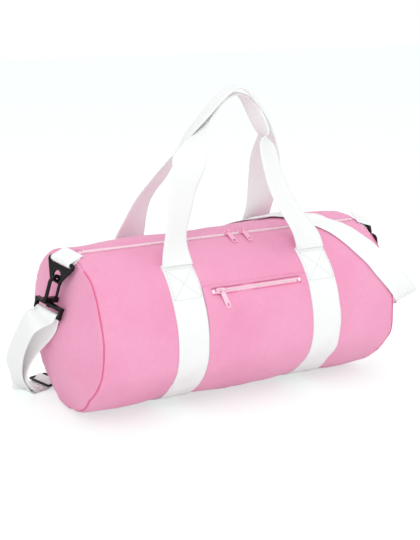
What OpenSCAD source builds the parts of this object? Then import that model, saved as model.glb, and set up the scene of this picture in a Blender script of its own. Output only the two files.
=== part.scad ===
// Barrel bag: a fabric tube with domed end panels, webbing bands that run up into two
// carry handles, zips with sliders and pullers, and a shoulder strap on swivel snap hooks.
// X runs along the bag, the pocket faces -Y, Z is up and the bag stands on Z = 0.

/* [Body] */
// Radius of the fabric tube
body_r = 123.5; // [112:0.5:135]
// Half the length of the tube, from its middle to an end seam
body_half = 224; // [215:1:250]
// How far the tube is flattened below
sit_depth = 20; // [16:1:24]
// Radius of the flattened underside
base_r = 137; // [132:1:146]
// How far the underside settles on the ground
base_flat = 2; // [1:0.5:3]
// Thickness of the fabric with its lining
fabric_t = 1.2; // [1:0.1:1.6]
// How far an end panel bulges past its seam
end_bulge = 24; // [20:1:30]
// Height of the bound seam allowance inside an end seam
binding_h = 9; // [6:1:12]
// Thickness of the bound seam allowance
binding_t = 2.4; // [1.6:0.2:3]

/* [Main zip] */
// Angle of the zip and of the ring tabs forward of the top, in degrees
top_turn = 12; // [8:1:14]
// Distance from an end seam to the end of the zip
zip_margin = 10; // [8:1:20]
// Half the width of the slot in the fabric that shows the zip
slit_half = 5.2; // [4.6:0.1:6]
// Width of one zip tape
tape_w = 13; // [10:0.5:15]
// Thickness of a zip tape
tape_t = 0.8; // [0.6:0.1:1]
// Distance between two teeth of one row
tooth_pitch = 2.8; // [2.6:0.1:3.4]
// Width of one row of teeth, cord included
row_w = 2.5; // [2.2:0.1:2.8]
// Height of the teeth above the tape
tooth_h = 1.9; // [1.6:0.1:2.2]
// Gap between the two rows that the sliders' posts run in
post_gap = 1; // [0.9:0.1:1.2]
// Length of a slider
slider_l = 12; // [10:0.5:14]
// Place of the left slider along the bag
left_slider_x = 6; // [-10:1:10]
// Place of the right slider along the bag
right_slider_x = 30; // [26:1:50]
// Length of a puller from its eye to its tip
puller_l = 26; // [20:1:28]
// Width of a puller
puller_w = 7; // [6:0.5:8]

/* [Front pocket] */
// Angle of the pocket's top seam forward of the top, in degrees
pocket_top = 53.5; // [50:0.5:56]
// Angle of the pocket's lower seam, in degrees
pocket_low = 140; // [125:1:142]
// Angle of the pocket's zip, in degrees
pocket_zip_turn = 57.8; // [56:0.1:62]
// Depth that the pocket stands proud of the body
pocket_t = 3.1; // [3.1:0.1:3.6]
// Thickness of the pocket's cloth
pocket_cloth = 0.7; // [0.6:0.1:0.8]
// Width of the pocket's sewn edge
pocket_hem_w = 6; // [4:0.5:9]
// Distance from a band to the end of the pocket's zip
pocket_zip_margin = 12; // [10:0.5:20]

/* [Webbing bands] */
// Half the distance between the two bands' centre lines
band_x = 103; // [98:1:108]
// How far the pair of bands, the pocket and the handles sit towards the right end
band_shift = 6; // [0:1:10]
// Width of the bands and handles
band_w = 45; // [38:1:50]
// Thickness of the bands and handles
band_t = 2.2; // [1.6:0.1:2.6]
// Angle from the top to where the handles leave the body, in degrees
band_end = 37.5; // [35:0.5:40]

/* [Handles] */
// Height of the front handle above its stitching
handle_rise = 213; // [190:1:235]
// Gap between the front handle and the back handle that lies over it
handle_gap = 2.4; // [2:0.1:4]
// Distance of the front handle's crown in front of the middle
front_crown_y = 7; // [7:1:14]
// Distance of the back handle's crown behind the middle
back_crown_y = 5; // [4:1:12]

/* [Ring and snap hook] */
// Inner width of the rings, of the strap loops and of the adjuster
loop_w = 42; // [41:0.5:46]
// Radius of the rings' and hooks' rod
rod_r = 2.6; // [2.2:0.1:2.8]
// Turn of the ring tabs towards the front, in degrees
tab_skew = 20; // [10:1:25]
// Width of a ring tab
tab_w = 35; // [30:1:36]
// Thickness of a ring tab
tab_t = 1.5; // [1.2:0.1:1.8]
// Distance of a ring's bar outside its seam
ring_out = 15; // [14:0.5:20]
// Distance of a ring's bar below its seam
ring_drop = 6; // [5:0.5:8]
// Length of a ring from its bar to its nose
ring_l = 27; // [26:0.5:32]
// Lean of a ring away from the bag, in degrees
ring_lean = 22; // [20:1:28]
// Lean of a hook away from the bag, in degrees
hook_lean = 15; // [12:1:24]
// Inner width of a hook's eye
eye_w = 13; // [12:0.5:15]
// Distance from a swivel's beam to the ring's nose
hook_l = 30; // [29:0.5:36]
// Radius of a swivel's shank
shank_r = 2.4; // [2:0.1:2.6]

/* [Shoulder strap] */
// Width of the shoulder strap
strap_w = 39; // [34:1:40]
// Thickness of the shoulder strap
strap_t = 1.6; // [1.4:0.1:1.8]
// How far the adjuster's middle lies inside the left end seam
adjuster_in = 8; // [0:1:12]
// How far the adjuster's middle lies inside the back of the tube
adjuster_under = 15.5; // [8:0.5:16.5]
// Length of the adjuster
adjuster_l = 30; // [28:1:36]

/* [Hidden] */
$fn = 48;

// Colours
pink = "#F4A5CB";
pale_pink = "#F9C9DE";
white = "#F4F4F4";
black = "#1B1B1D";

// Overrun of cuts, and the clearances of pieces that fit or move
cut = 1;
seat_gap = 0.3;
run_gap = 0.25;
hang_gap = 0.6;
sew_gap = 0.05;
rod_lap = 0.4;
rod_step = 0.06;
bore_gap = 0.08;

// Heights of the tube's axis and of the underside's, and a length that reaches past the whole bag
axis_z = body_r - sit_depth;
base_z = base_r - base_flat;
reach = 3 * body_half;

// Radius that the zip tapes lie at, just inside the fabric
seat_r = body_r - fabric_t;
zip_seat_r = seat_r - sew_gap;
zip_half = body_half - zip_margin;
tooth_share = 0.5;
cord_share = 0.45;
plate_t = 1.1;
lip_w = 0.9;
slider_w = 2 * (row_w + lip_w) + post_gap + 2 * run_gap;
nose_share = 0.78;
post_w = post_gap - 2 * bore_gap;
post_l = 3;
dome_power = 2.4;
bridge_l = 6;
bridge_r = 0.8;
eye_r = 2.6;
bridge_h = eye_r + seat_gap;
eye_bore = 1.6;
eye_l = 2.2;
puller_t = 1.3;
puller_hole_w = 3.2;
puller_hole_l = 5;
stop_l = 4;

// Pocket between the bands, on the body's outside
pocket_half = band_x - band_w / 2 - seat_gap;
pocket_zip_half = pocket_half - pocket_zip_margin;
pocket_seat_r = body_r + pocket_t - pocket_cloth - sew_gap;
pocket_slit_half_w = 5;
pocket_tape_w = 9;
pocket_slider_x = slider_l - pocket_zip_half;
pocket_puller_skew = 16;

// Place of a handle's hinge line, where it lies on the band's end
hinge_r = body_r + 3 * band_t / 2 + seat_gap;
hinge_y = hinge_r * sin(band_end);
hinge_z = axis_z + hinge_r * cos(band_end);

// Ring and hook frame
tab_gap = 0.4;
tab_end_gap = 0.7;
ring_corner = 3;
ring_nose_share = 0.3;
yoke_h = 7;
gate_r = 1.9;
pin_r = 1.1;
ear_t = 1.2;
gate_w = 3.2;
gate_t = 2.2;
beam_h = 4.5;
beam_w = 7;
arm_t = 3.4;
slot_h = 6.6;
head_r = 3.6;
head_t = 1.4;
collar_r = 5;
collar_h = 3;

// Strap round the swivel's bar and the adjuster's bar
wrap_r = rod_r + seat_gap + strap_t / 2;
glide_r = 1.75;
glide_bar_z = 7.6;
centre_r = 1.5;
centre_wrap = centre_r + seat_gap + sew_gap + strap_t / 2;
heading = 15;

// Geometry helpers

function unit(v) = v / norm(v);
function bend_curve(a, b, c, d, t) =
    0.5 * (2 * b + (c - a) * t + (2 * a - 5 * b + 4 * c - d) * t * t
        + (3 * b - a - 3 * c + d) * t * t * t);
function smooth(p, n) = [
    for (i = [0 : len(p) - 2], k = [0 : n - 1])
        bend_curve(p[max(i - 1, 0)], p[i], p[i + 1], p[min(i + 2, len(p) - 1)], k / n),
    p[len(p) - 1]
];
function turn_x(v, a) = [v[0], v[1] * cos(a) - v[2] * sin(a), v[1] * sin(a) + v[2] * cos(a)];
function turn_z(v, a) = [v[0] * cos(a) - v[1] * sin(a), v[0] * sin(a) + v[1] * cos(a), v[2]];

// A flat band of webbing: each stop of the route is a point and the direction of its width.
function ribbon_frame(p, i) =
    let (
        here = [p[i][0], p[i][1], p[i][2]],
        next = p[min(i + 1, len(p) - 1)],
        last = p[max(i - 1, 0)],
        along = unit([next[0] - last[0], next[1] - last[1], next[2] - last[2]]),
        w = [p[i][3], p[i][4], p[i][5]],
        end = i == 0 || i == len(p) - 1,
        across = end ? unit(w) : unit(w - (w * along) * along)
    ) [here, across, unit(cross(across, along))];
module ribbon(p, w, t) {
    n = len(p);
    points = [
        for (i = [0 : n - 1])
            let (f = ribbon_frame(p, i))
            for (c = [[-w, -t], [w, -t], [w, t], [-w, t]])
                f[0] + f[1] * c[0] / 2 + f[2] * c[1] / 2
    ];
    sides = [
        for (i = [0 : n - 2], k = [0 : 3])
            let (a = 4 * i + k, b = 4 * i + (k + 1) % 4)
            each [[a, b, b + 4], [a, b + 4, a + 4]]
    ];
    ends = [[2, 1, 0], [3, 2, 0], [4 * n - 4, 4 * n - 3, 4 * n - 2], [4 * n - 4, 4 * n - 2, 4 * n - 1]];
    polyhedron(points, concat(ends, sides));
}

// A round rod along a closed flat outline with rounded corners. Its straight runs are a
// hair thinner than its bends and end inside them.
module rod_ring(p, bend, r) {
    n = len(p);
    function corner(i) =
        let (
            u = unit(p[(i + n - 1) % n] - p[i]),
            v = unit(p[(i + 1) % n] - p[i]),
            half = acos(u * v) / 2
        ) [u, v, half];
    function run(i) = bend / tan(corner(i)[2]) - rod_lap;
    for (i = [0 : n - 1]) {
        j = (i + 1) % n;
        d = unit(p[j] - p[i]);
        a = p[i] + d * run(i);
        l = norm(p[j] - p[i]) - run(i) - run(j);
        translate([a[0], a[1], 0])
            rotate([0, 0, atan2(d[1], d[0])])
                rotate([0, 90, 0])
                    cylinder(r = r - rod_step, h = l);
    }
    for (i = [0 : n - 1]) {
        c = corner(i);
        middle = p[i] + unit(c[0] + c[1]) * bend / sin(c[2]);
        from = p[i] + c[0] * (run(i) + rod_lap) - middle;
        to = p[i] + c[1] * (run(i) + rod_lap) - middle;
        a = atan2(from[1], from[0]);
        b = atan2(to[1], to[0]);
        sweep = ((b - a + 540) % 360) - 180;
        translate([middle[0], middle[1], 0])
            rotate([0, 0, sweep > 0 ? a : b])
                rotate_extrude(angle = abs(sweep))
                    translate([bend, 0])
                        circle(r = r);
    }
}

module above(z) {
    intersection() {
        children();
        translate([-reach, -reach, z])
            cube([2 * reach, 2 * reach, reach]);
    }
}
module tube(r, x0, x1) {
    translate([x0, 0, axis_z])
        rotate([0, 90, 0])
            cylinder(r = r, h = x1 - x0);
}
// The bag's cross-section: the round tube over its flatter underside.
module section(r, x0, x1) {
    intersection() {
        tube(r, x0, x1);
        translate([x0 - cut, 0, base_z])
            rotate([0, 90, 0])
                cylinder(r = r + base_r - body_r, h = x1 - x0 + 2 * cut);
    }
}
// A strip of the tube's skin between two radii and two angles forward of the top.
module skin_strip(x0, x1, r0, r1, f0, f1) {
    translate([0, 0, axis_z])
        rotate([0, 90, 0])
            rotate([0, 0, 180 + f0])
                rotate_extrude(angle = f1 - f0)
                    translate([r0, x0])
                        square([r1 - r0, x1 - x0]);
}
// Local frame on the skin: Z out of the tube, -Y down the front.
module on_skin(turn) {
    translate([0, 0, axis_z])
        rotate([turn, 0, 0])
            children();
}
function arc_deg(l, r) = l / r * 180 / PI;

// Body

module body_panel() {
    color(pink)
        difference() {
            above(0)
                section(body_r, -body_half, body_half);
            above(fabric_t + band_t + sew_gap)
                section(seat_r, -body_half - cut, body_half + cut);
            for (s = [-1, 1])
                translate([band_shift + s * band_x - band_w / 2 - sew_gap, -body_r, -cut])
                    cube([band_w + 2 * sew_gap, 2 * body_r, band_t + sew_gap + cut]);
            on_skin(top_turn)
                translate([-zip_half, -slit_half, body_r / 2])
                    cube([2 * zip_half, 2 * slit_half, body_r]);
        }
}
module dome(r, bulge) {
    rotate([0, 90, 0])
        rotate_extrude()
            polygon([[0, 0], for (a = [0 : 5 : 90]) [r * cos(a), bulge * pow(sin(a), dome_power)]]);
}
module dome_section(r, bulge) {
    intersection() {
        translate([body_half, 0, axis_z])
            dome(r, bulge);
        translate([body_half, 0, base_z])
            dome(r + base_r - body_r, bulge);
    }
}
module end_panel(side) {
    color(pink)
        mirror([side < 0 ? 1 : 0, 0, 0])
            difference() {
                above(0)
                    dome_section(body_r, end_bulge);
                above(fabric_t)
                    dome_section(seat_r, end_bulge - fabric_t);
            }
}
module left_end_panel() {
    end_panel(-1);
}
module right_end_panel() {
    end_panel(1);
}
module seam_binding(side) {
    edge = side * (body_half - binding_t / 2);
    color(pink)
        above(fabric_t + band_t + 2 * sew_gap)
            difference() {
                section(seat_r - sew_gap, edge - binding_t / 2, edge + binding_t / 2);
                section(seat_r - binding_h, edge - binding_t, edge + binding_t);
            }
}
module left_seam_binding() {
    seam_binding(-1);
}
module right_seam_binding() {
    seam_binding(1);
}

// Zips

module zip_tape(half, seat, turn, w, side) {
    inner = arc_deg(post_gap / 2, seat);
    outer = arc_deg(w, seat);
    color(pink)
        if (side < 0)
            skin_strip(-half, half, seat - tape_t, seat, turn + inner, turn + outer);
        else
            skin_strip(-half, half, seat - tape_t, seat, turn - outer, turn - inner);
}
// One row of teeth as a comb: a cord on the tape and teeth that reach for the other row.
module teeth_row(half, seat, side) {
    count = floor((2 * half - 2 * stop_l) / tooth_pitch) - 1;
    start = -count * tooth_pitch / 2 + side * tooth_pitch / 4;
    tip = post_gap / 2;
    root = tip + row_w * (1 - cord_share);
    back = tip + row_w;
    comb = [
        [start + count * tooth_pitch, back],
        [start, back],
        for (i = [0 : count - 1])
            let (x = start + i * tooth_pitch)
            each [[x, root], [x, tip], [x + tooth_pitch * tooth_share, tip],
                [x + tooth_pitch * tooth_share, root]],
        [start + count * tooth_pitch, root]
    ];
    translate([0, 0, seat])
        linear_extrude(height = tooth_h)
            scale([1, side])
                polygon(comb);
}
module zip_teeth(half, seat, turn, side) {
    color(pale_pink)
        on_skin(turn)
            mirror([0, side < 0 ? 1 : 0, 0])
                teeth_row(half, seat, 1);
}
module zip_stops(half, seat, turn) {
    color(pale_pink)
        on_skin(turn)
            for (s = [-1, 1])
                translate([s * (half - stop_l / 2) - stop_l / 2, -row_w, seat])
                    cube([stop_l, 2 * row_w, tooth_h]);
}
module slider_outline() {
    polygon([
        [-slider_l / 2, -slider_w / 2 * nose_share], [slider_l / 2 - post_l, -slider_w / 2],
        [slider_l / 2, -slider_w / 2 * nose_share], [slider_l / 2, slider_w / 2 * nose_share],
        [slider_l / 2 - post_l, slider_w / 2], [-slider_l / 2, slider_w / 2 * nose_share]
    ]);
}
bridge_z = tooth_h + run_gap + plate_t + bridge_h;
module zip_slider(x, seat, turn, nose) {
    top = tooth_h + run_gap;
    low = -tape_t - run_gap - plate_t;
    color(pale_pink)
        on_skin(turn)
            translate([x, 0, seat])
                mirror([nose < 0 ? 1 : 0, 0, 0]) {
                    translate([0, 0, top])
                        linear_extrude(height = plate_t)
                            slider_outline();
                    translate([0, 0, low])
                        linear_extrude(height = plate_t)
                            slider_outline();
                    translate([slider_l / 2 - post_l, -post_w / 2, low])
                        cube([post_l, post_w, top - low + plate_t]);
                    for (s = [-1, 1])
                        translate([-slider_l / 4, s * (slider_w - lip_w) / 2 - lip_w / 2, top - tooth_h / 2])
                            cube([3 * slider_l / 4 - post_l, lip_w, tooth_h / 2 + plate_t / 2]);
                    for (s = [-1, 1])
                        translate([s * (bridge_l / 2 + bridge_r) - bridge_r, -bridge_r, top + plate_t / 2])
                            cube([2 * bridge_r, 2 * bridge_r, bridge_h + plate_t / 2]);
                    translate([-bridge_l / 2 - 2 * bridge_r, 0, bridge_z])
                        rotate([0, 90, 0])
                            cylinder(r = bridge_r, h = bridge_l + 4 * bridge_r);
                }
}
// The tag hangs from an eye round the slider's bridge and lies on the fabric below it.
module zip_puller(x, seat, turn, lie, skew) {
    color(pale_pink)
        on_skin(turn)
            translate([x, 0, seat + bridge_z])
                rotate([lie, 0, 0])
                    rotate([0, 0, skew])
                        difference() {
                            union() {
                                translate([-eye_l / 2, 0, 0])
                                    rotate([0, 90, 0])
                                        cylinder(r = eye_r, h = eye_l);
                                translate([-puller_w / 2, puller_w / 2 - puller_l, -puller_t / 2])
                                    cube([puller_w, puller_l - puller_w / 2 - eye_r - puller_t, puller_t]);
                                translate([-eye_l / 2, -eye_r - puller_t - cut, -puller_t / 2])
                                    cube([eye_l, eye_r + cut, puller_t]);
                                translate([0, puller_w / 2 - puller_l, -puller_t / 2])
                                    cylinder(r = puller_w / 2, h = puller_t);
                            }
                            translate([-eye_l, 0, 0])
                                rotate([0, 90, 0])
                                    cylinder(r = eye_bore, h = 2 * eye_l);
                            for (y = [0, puller_hole_l - puller_hole_w])
                                translate([0, puller_w / 2 - puller_l + y, -puller_t])
                                    cylinder(r = puller_hole_w / 2, h = 2 * puller_t);
                            translate([-puller_hole_w / 2, puller_w / 2 - puller_l, -puller_t])
                                cube([puller_hole_w, puller_hole_l - puller_hole_w, 2 * puller_t]);
                        }
}
main_lie = 12;
pocket_lie = 12;
module main_zip_front_tape() {
    zip_tape(zip_half, zip_seat_r, top_turn, tape_w, -1);
}
module main_zip_back_tape() {
    zip_tape(zip_half, zip_seat_r, top_turn, tape_w, 1);
}
module main_zip_front_teeth() {
    zip_teeth(zip_half, zip_seat_r, top_turn, -1);
}
module main_zip_back_teeth() {
    zip_teeth(zip_half, zip_seat_r, top_turn, 1);
}
module main_zip_stops() {
    zip_stops(zip_half, zip_seat_r, top_turn);
}
module left_slider() {
    zip_slider(left_slider_x, zip_seat_r, top_turn, 1);
}
module right_slider() {
    zip_slider(right_slider_x, zip_seat_r, top_turn, -1);
}
module left_slider_puller() {
    zip_puller(left_slider_x, zip_seat_r, top_turn, main_lie, 0);
}
module right_slider_puller() {
    zip_puller(right_slider_x, zip_seat_r, top_turn, main_lie, 0);
}

// Front pocket

module pocket_panel() {
    hem = arc_deg(pocket_hem_w, body_r);
    window = arc_deg(pocket_slit_half_w, body_r);
    translate([band_shift, 0, 0])
        color(pink)
            difference() {
                intersection() {
                    section(body_r + pocket_t, -pocket_half, pocket_half);
                    skin_strip(-pocket_half - cut, pocket_half + cut, 0, 2 * body_r,
                        pocket_top, pocket_low);
                }
                section(body_r + sew_gap, -pocket_half - cut, pocket_half + cut);
                intersection() {
                    section(body_r + pocket_t - pocket_cloth, -pocket_half + pocket_hem_w,
                        pocket_half - pocket_hem_w);
                    skin_strip(-pocket_half, pocket_half, 0, 2 * body_r,
                        pocket_zip_turn - window, pocket_low - hem);
                }
                skin_strip(-pocket_zip_half, pocket_zip_half, body_r - cut,
                    body_r + pocket_t + cut, pocket_zip_turn - window, pocket_zip_turn + window);
            }
}
module pocket_zip_upper_tape() {
    inner = arc_deg(post_gap / 2, pocket_seat_r);
    outer = arc_deg(pocket_slit_half_w - bore_gap, pocket_seat_r);
    translate([band_shift, 0, 0])
        color(pink)
            skin_strip(-pocket_zip_half, pocket_zip_half, pocket_seat_r - tape_t, pocket_seat_r,
                pocket_zip_turn - outer, pocket_zip_turn - inner);
}
module pocket_zip_lower_tape() {
    translate([band_shift, 0, 0])
        zip_tape(pocket_zip_half, pocket_seat_r, pocket_zip_turn, pocket_tape_w, -1);
}
module pocket_zip_upper_teeth() {
    translate([band_shift, 0, 0])
        zip_teeth(pocket_zip_half, pocket_seat_r, pocket_zip_turn, 1);
}
module pocket_zip_lower_teeth() {
    translate([band_shift, 0, 0])
        zip_teeth(pocket_zip_half, pocket_seat_r, pocket_zip_turn, -1);
}
module pocket_zip_stops() {
    translate([band_shift, 0, 0])
        zip_stops(pocket_zip_half, pocket_seat_r, pocket_zip_turn);
}
module pocket_slider() {
    translate([band_shift, 0, 0])
        zip_slider(pocket_slider_x, pocket_seat_r, pocket_zip_turn, -1);
}
module pocket_slider_puller() {
    translate([band_shift, 0, 0])
        zip_puller(pocket_slider_x, pocket_seat_r, pocket_zip_turn, pocket_lie, pocket_puller_skew);
}

// Webbing bands under the body

module band(side) {
    x0 = band_shift + side * band_x - band_w / 2;
    x1 = x0 + band_w;
    color(white)
        difference() {
            above(0)
                section(body_r + band_t, x0, x1);
            above(band_t)
                section(body_r + sew_gap, x0 - cut, x1 + cut);
            skin_strip(x0 - cut, x1 + cut, 0, 2 * body_r, -band_end - end_trim, band_end + end_trim);
        }
}
end_trim = arc_deg(band_t / 2 + seat_gap, body_r);
module left_band() {
    band(-1);
}
module right_band() {
    band(1);
}

// Handles: shares of the band's distance, of the rise, of the way to the crown's depth, and of
// the quarter turn that brings the webbing flat at the crown
front_handle_shares = [
    [-1, 0, 0, 0], [-1, 0.055, 0.01, 0], [-0.98, 0.165, 0.07, 0.02], [-0.883, 0.338, 0.19, 0.08],
    [-0.738, 0.53, 0.36, 0.22], [-0.544, 0.704, 0.58, 0.48], [-0.272, 0.873, 0.83, 0.82],
    [0.02, 0.972, 0.97, 1], [0.233, 1, 1, 1], [0.427, 0.94, 0.98, 1], [0.583, 0.822, 0.88, 0.9],
    [0.66, 0.695, 0.72, 0.64], [0.645, 0.53, 0.5, 0.38], [0.709, 0.352, 0.28, 0.2],
    [0.86, 0.19, 0.1, 0.08], [0.98, 0.075, 0.02, 0.01], [1, 0, 0, 0]
];
back_handle_shares = [
    [-1, 0, 0, 0], [-0.995, 0.06, 0.03, 0.02], [-0.96, 0.16, 0.11, 0.08], [-0.874, 0.319, 0.24, 0.2],
    [-0.66, 0.507, 0.42, 0.36], [-0.5, 0.69, 0.62, 0.6], [-0.36, 0.86, 0.83, 0.88],
    [-0.05, 0.972, 0.96, 1], [0.233, 1, 1, 1], [0.456, 0.94, 0.98, 1], [0.64, 0.815, 0.88, 0.9],
    [0.79, 0.676, 0.7, 0.66], [0.875, 0.516, 0.5, 0.42], [0.935, 0.329, 0.28, 0.22],
    [0.985, 0.16, 0.1, 0.08], [1, 0.05, 0.01, 0], [1, 0, 0, 0]
];
crown_share = 0.2;
function handle_route(shares, side, lift, crown_y) = [
    for (s = shares)
        let (
            turn = 90 * s[3],
            w = [cos(turn) * sign(crown_share - s[0]), side * sin(turn), 0]
        )
        [s[0] * band_x + band_shift, side * (hinge_y * (1 - s[2]) + crown_y * s[2]),
            hinge_z + s[1] * handle_rise + lift * s[2], w[0], w[1], w[2]]
];
module handle(shares, side, lift, crown_y) {
    color(white) {
        ribbon(smooth(handle_route(shares, side, lift, crown_y), 4), band_w, band_t);
        for (s = [-1, 1])
            translate([band_shift + s * band_x - band_w / 2, side * hinge_y, hinge_z])
                rotate([0, 90, 0])
                    translate([0, 0, rod_step])
                        cylinder(r = band_t / 2 - rod_step, h = band_w - 2 * rod_step);
    }
}
module front_handle() {
    handle(front_handle_shares, -1, 0, front_crown_y);
}
module back_handle() {
    handle(back_handle_shares, 1, band_t + handle_gap, back_crown_y);
}

// Ring tabs, rings and snap hooks, drawn for the left end and mirrored for the right

module fitting(side) {
    mirror([side > 0 ? 1 : 0, 0, 0])
        on_skin(top_turn)
            translate([-body_half, 0, body_r])
                rotate([0, 0, tab_skew])
                    children();
}
module at_ring() {
    translate([-ring_out, 0, -ring_drop])
        rotate([0, ring_lean, 0])
            children();
}
// The hook's frame starts on the ring's nose, with its shank along -Z.
module at_hook() {
    translate([-ring_out - ring_l * sin(ring_lean), 0, -ring_drop - ring_l * cos(ring_lean)])
        rotate([0, hook_lean, 0])
            children();
}
module ring_tab(side) {
    inner = rod_r + tab_gap;
    outer = inner + tab_t;
    l = norm([ring_out, ring_drop]);
    color(white)
        difference() {
            fitting(side)
                translate([-ring_out, 0, -ring_drop])
                    rotate([90, -atan2(ring_drop, ring_out), 0])
                        translate([0, 0, -tab_w / 2])
                            linear_extrude(height = tab_w)
                                difference() {
                                    union() {
                                        circle(r = outer);
                                        polygon([[0, -outer], [l, -tab_t], [2 * l, -tab_t],
                                            [2 * l, tab_t], [l, tab_t], [0, outer]]);
                                    }
                                    circle(r = inner);
                                    polygon([[0, -inner], [l - 2 * inner, 0], [0, inner]]);
                                }
            translate([-body_half - tab_end_gap, -body_r, 0])
                cube([2 * (body_half + tab_end_gap), 2 * body_r, 3 * body_r]);
        }
}
module left_ring_tab() {
    ring_tab(-1);
}
module right_ring_tab() {
    ring_tab(1);
}
module ring(side) {
    half = loop_w / 2 + rod_r;
    nose = half * ring_nose_share;
    color(black)
        fitting(side)
            at_ring()
                rotate([90, 0, 90])
                    rod_ring([[-half, 0], [half, 0], [nose, -ring_l], [-nose, -ring_l]],
                        ring_corner, rod_r);
}
module left_ring() {
    ring(-1);
}
module right_ring() {
    ring(1);
}
spine_x = eye_w / 2 + rod_r;
crook_z = rod_r + hang_gap + rod_r;
crook_mid = crook_z - spine_x;
nose_l = 2;
gate_z = -hook_l + yoke_h - pin_r - ear_t;
gate_l = crook_mid - nose_l - run_gap - gate_z;
module hook(side) {
    color(black)
        fitting(side)
            at_hook() {
                translate([0, 0, crook_mid])
                    rotate([90, 0, 0])
                        rotate_extrude(angle = 180)
                            translate([spine_x, 0])
                                circle(r = rod_r);
                translate([-spine_x, 0, -hook_l + yoke_h / 2])
                    cylinder(r = rod_r - rod_step, h = hook_l - yoke_h / 2 + crook_mid + rod_lap);
                translate([spine_x, 0, crook_mid - nose_l])
                    cylinder(r = rod_r - rod_step, h = nose_l + rod_lap);
                difference() {
                    translate([-spine_x - rod_r, -gate_w / 2 - ear_t, -hook_l + run_gap])
                        cube([2 * spine_x + 2 * rod_r, gate_w + 2 * ear_t, yoke_h]);
                    translate([eye_w / 2 - gate_t, -gate_w / 2 - bore_gap, gate_z - gate_r - bore_gap])
                        cube([2 * rod_r + 2 * gate_t, gate_w + 2 * bore_gap, yoke_h]);
                }
                translate([spine_x, gate_w / 2 + ear_t, gate_z])
                    rotate([90, 0, 0])
                        cylinder(r = pin_r, h = gate_w + 2 * ear_t);
                translate([0, 0, -hook_l - beam_h - run_gap - head_t / 2])
                    cylinder(r = shank_r, h = beam_h + head_t / 2 + run_gap + cut);
                translate([0, 0, -hook_l - beam_h - run_gap - head_t])
                    cylinder(r = head_r, h = head_t);
            }
}
module left_hook() {
    hook(-1);
}
module right_hook() {
    hook(1);
}
module hook_gate(side) {
    color(black)
        fitting(side)
            at_hook()
                translate([spine_x, 0, gate_z])
                    difference() {
                        union() {
                            translate([0, gate_w / 2, 0])
                                rotate([90, 0, 0])
                                    cylinder(r = gate_r, h = gate_w);
                            translate([-gate_t / 2, -gate_w / 2, 0])
                                cube([gate_t, gate_w, gate_l]);
                        }
                        translate([0, gate_w, 0])
                            rotate([90, 0, 0])
                                cylinder(r = pin_r + bore_gap, h = 2 * gate_w);
                    }
}
module left_hook_gate() {
    hook_gate(-1);
}
module right_hook_gate() {
    hook_gate(1);
}
bar_z = -hook_l - beam_h - slot_h - rod_r;
module swivel_loop(side) {
    half = loop_w / 2 + arm_t;
    color(black)
        fitting(side)
            at_hook()
                difference() {
                    union() {
                        translate([-beam_w / 2, -half, -hook_l - beam_h])
                            cube([beam_w, 2 * half, beam_h]);
                        for (s = [-1, 1])
                            translate([-rod_r, s * (half - arm_t / 2) - arm_t / 2, bar_z])
                                cube([2 * rod_r, arm_t, -hook_l - beam_h / 2 - bar_z]);
                        translate([0, half, bar_z])
                            rotate([90, 0, 0])
                                cylinder(r = rod_r, h = 2 * half);
                        translate([0, 0, -hook_l - beam_h])
                            cylinder(r = collar_r, h = beam_h);
                    }
                    translate([0, 0, -hook_l - beam_h - cut])
                        cylinder(r = shank_r + bore_gap, h = beam_h + 2 * cut);
                }
}
module left_swivel_loop() {
    swivel_loop(-1);
}
module right_swivel_loop() {
    swivel_loop(1);
}

// Points of the fitting's frame in the bag's frame
function from_fitting(side, v) =
    let (p = turn_x(turn_z(v, tab_skew) + [-body_half, 0, body_r], top_turn))
    [-side * p[0], p[1], p[2] + axis_z];
function turned(side, v) =
    let (p = turn_x(turn_z(v, tab_skew), top_turn)) [-side * p[0], p[1], p[2]];
bar_local = [
    -ring_out - ring_l * sin(ring_lean) + bar_z * sin(hook_lean), 0,
    -ring_drop - ring_l * cos(ring_lean) + bar_z * cos(hook_lean)
];
// The webbing's half turn over the swivel's bar: where it starts on each side, and its steps
left_wrap_from = 17;
right_wrap_from = 229;
wrap_step = 36;
function wrap_point(side, a) =
    let (
        p = bar_local + wrap_r * [-cos(a), 0, sin(a)],
        q = from_fitting(side, p),
        w = turned(side, [0, 1, 0])
    ) [q[0], q[1], q[2], w[0], w[1], w[2]];

// Adjuster: a flat frame with a centre bar that the strap's sewn end goes round

adjuster_x = body_half - adjuster_in;
adjuster_y = body_r - adjuster_under;
module at_adjuster() {
    translate([-adjuster_x, adjuster_y, 0])
        rotate([0, 0, heading])
            children();
}
module strap_adjuster() {
    end_x = adjuster_l / 2 - glide_r;
    side_y = loop_w / 2 + glide_r;
    color(black)
        at_adjuster()
            translate([0, 0, glide_bar_z]) {
                rod_ring([[-end_x, -side_y], [end_x, -side_y], [end_x, side_y], [-end_x, side_y]],
                    glide_r + bore_gap, glide_r);
                translate([0, side_y, 0])
                    rotate([90, 0, 0])
                        cylinder(r = centre_r, h = 2 * side_y);
            }
}
function adjuster_point(x, z) =
    let (p = turn_z([x, 0, z], heading), w = turn_z([0, 1, 0], heading))
    [p[0] - adjuster_x, p[1] + adjuster_y, p[2], w[0], w[1], w[2]];

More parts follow.
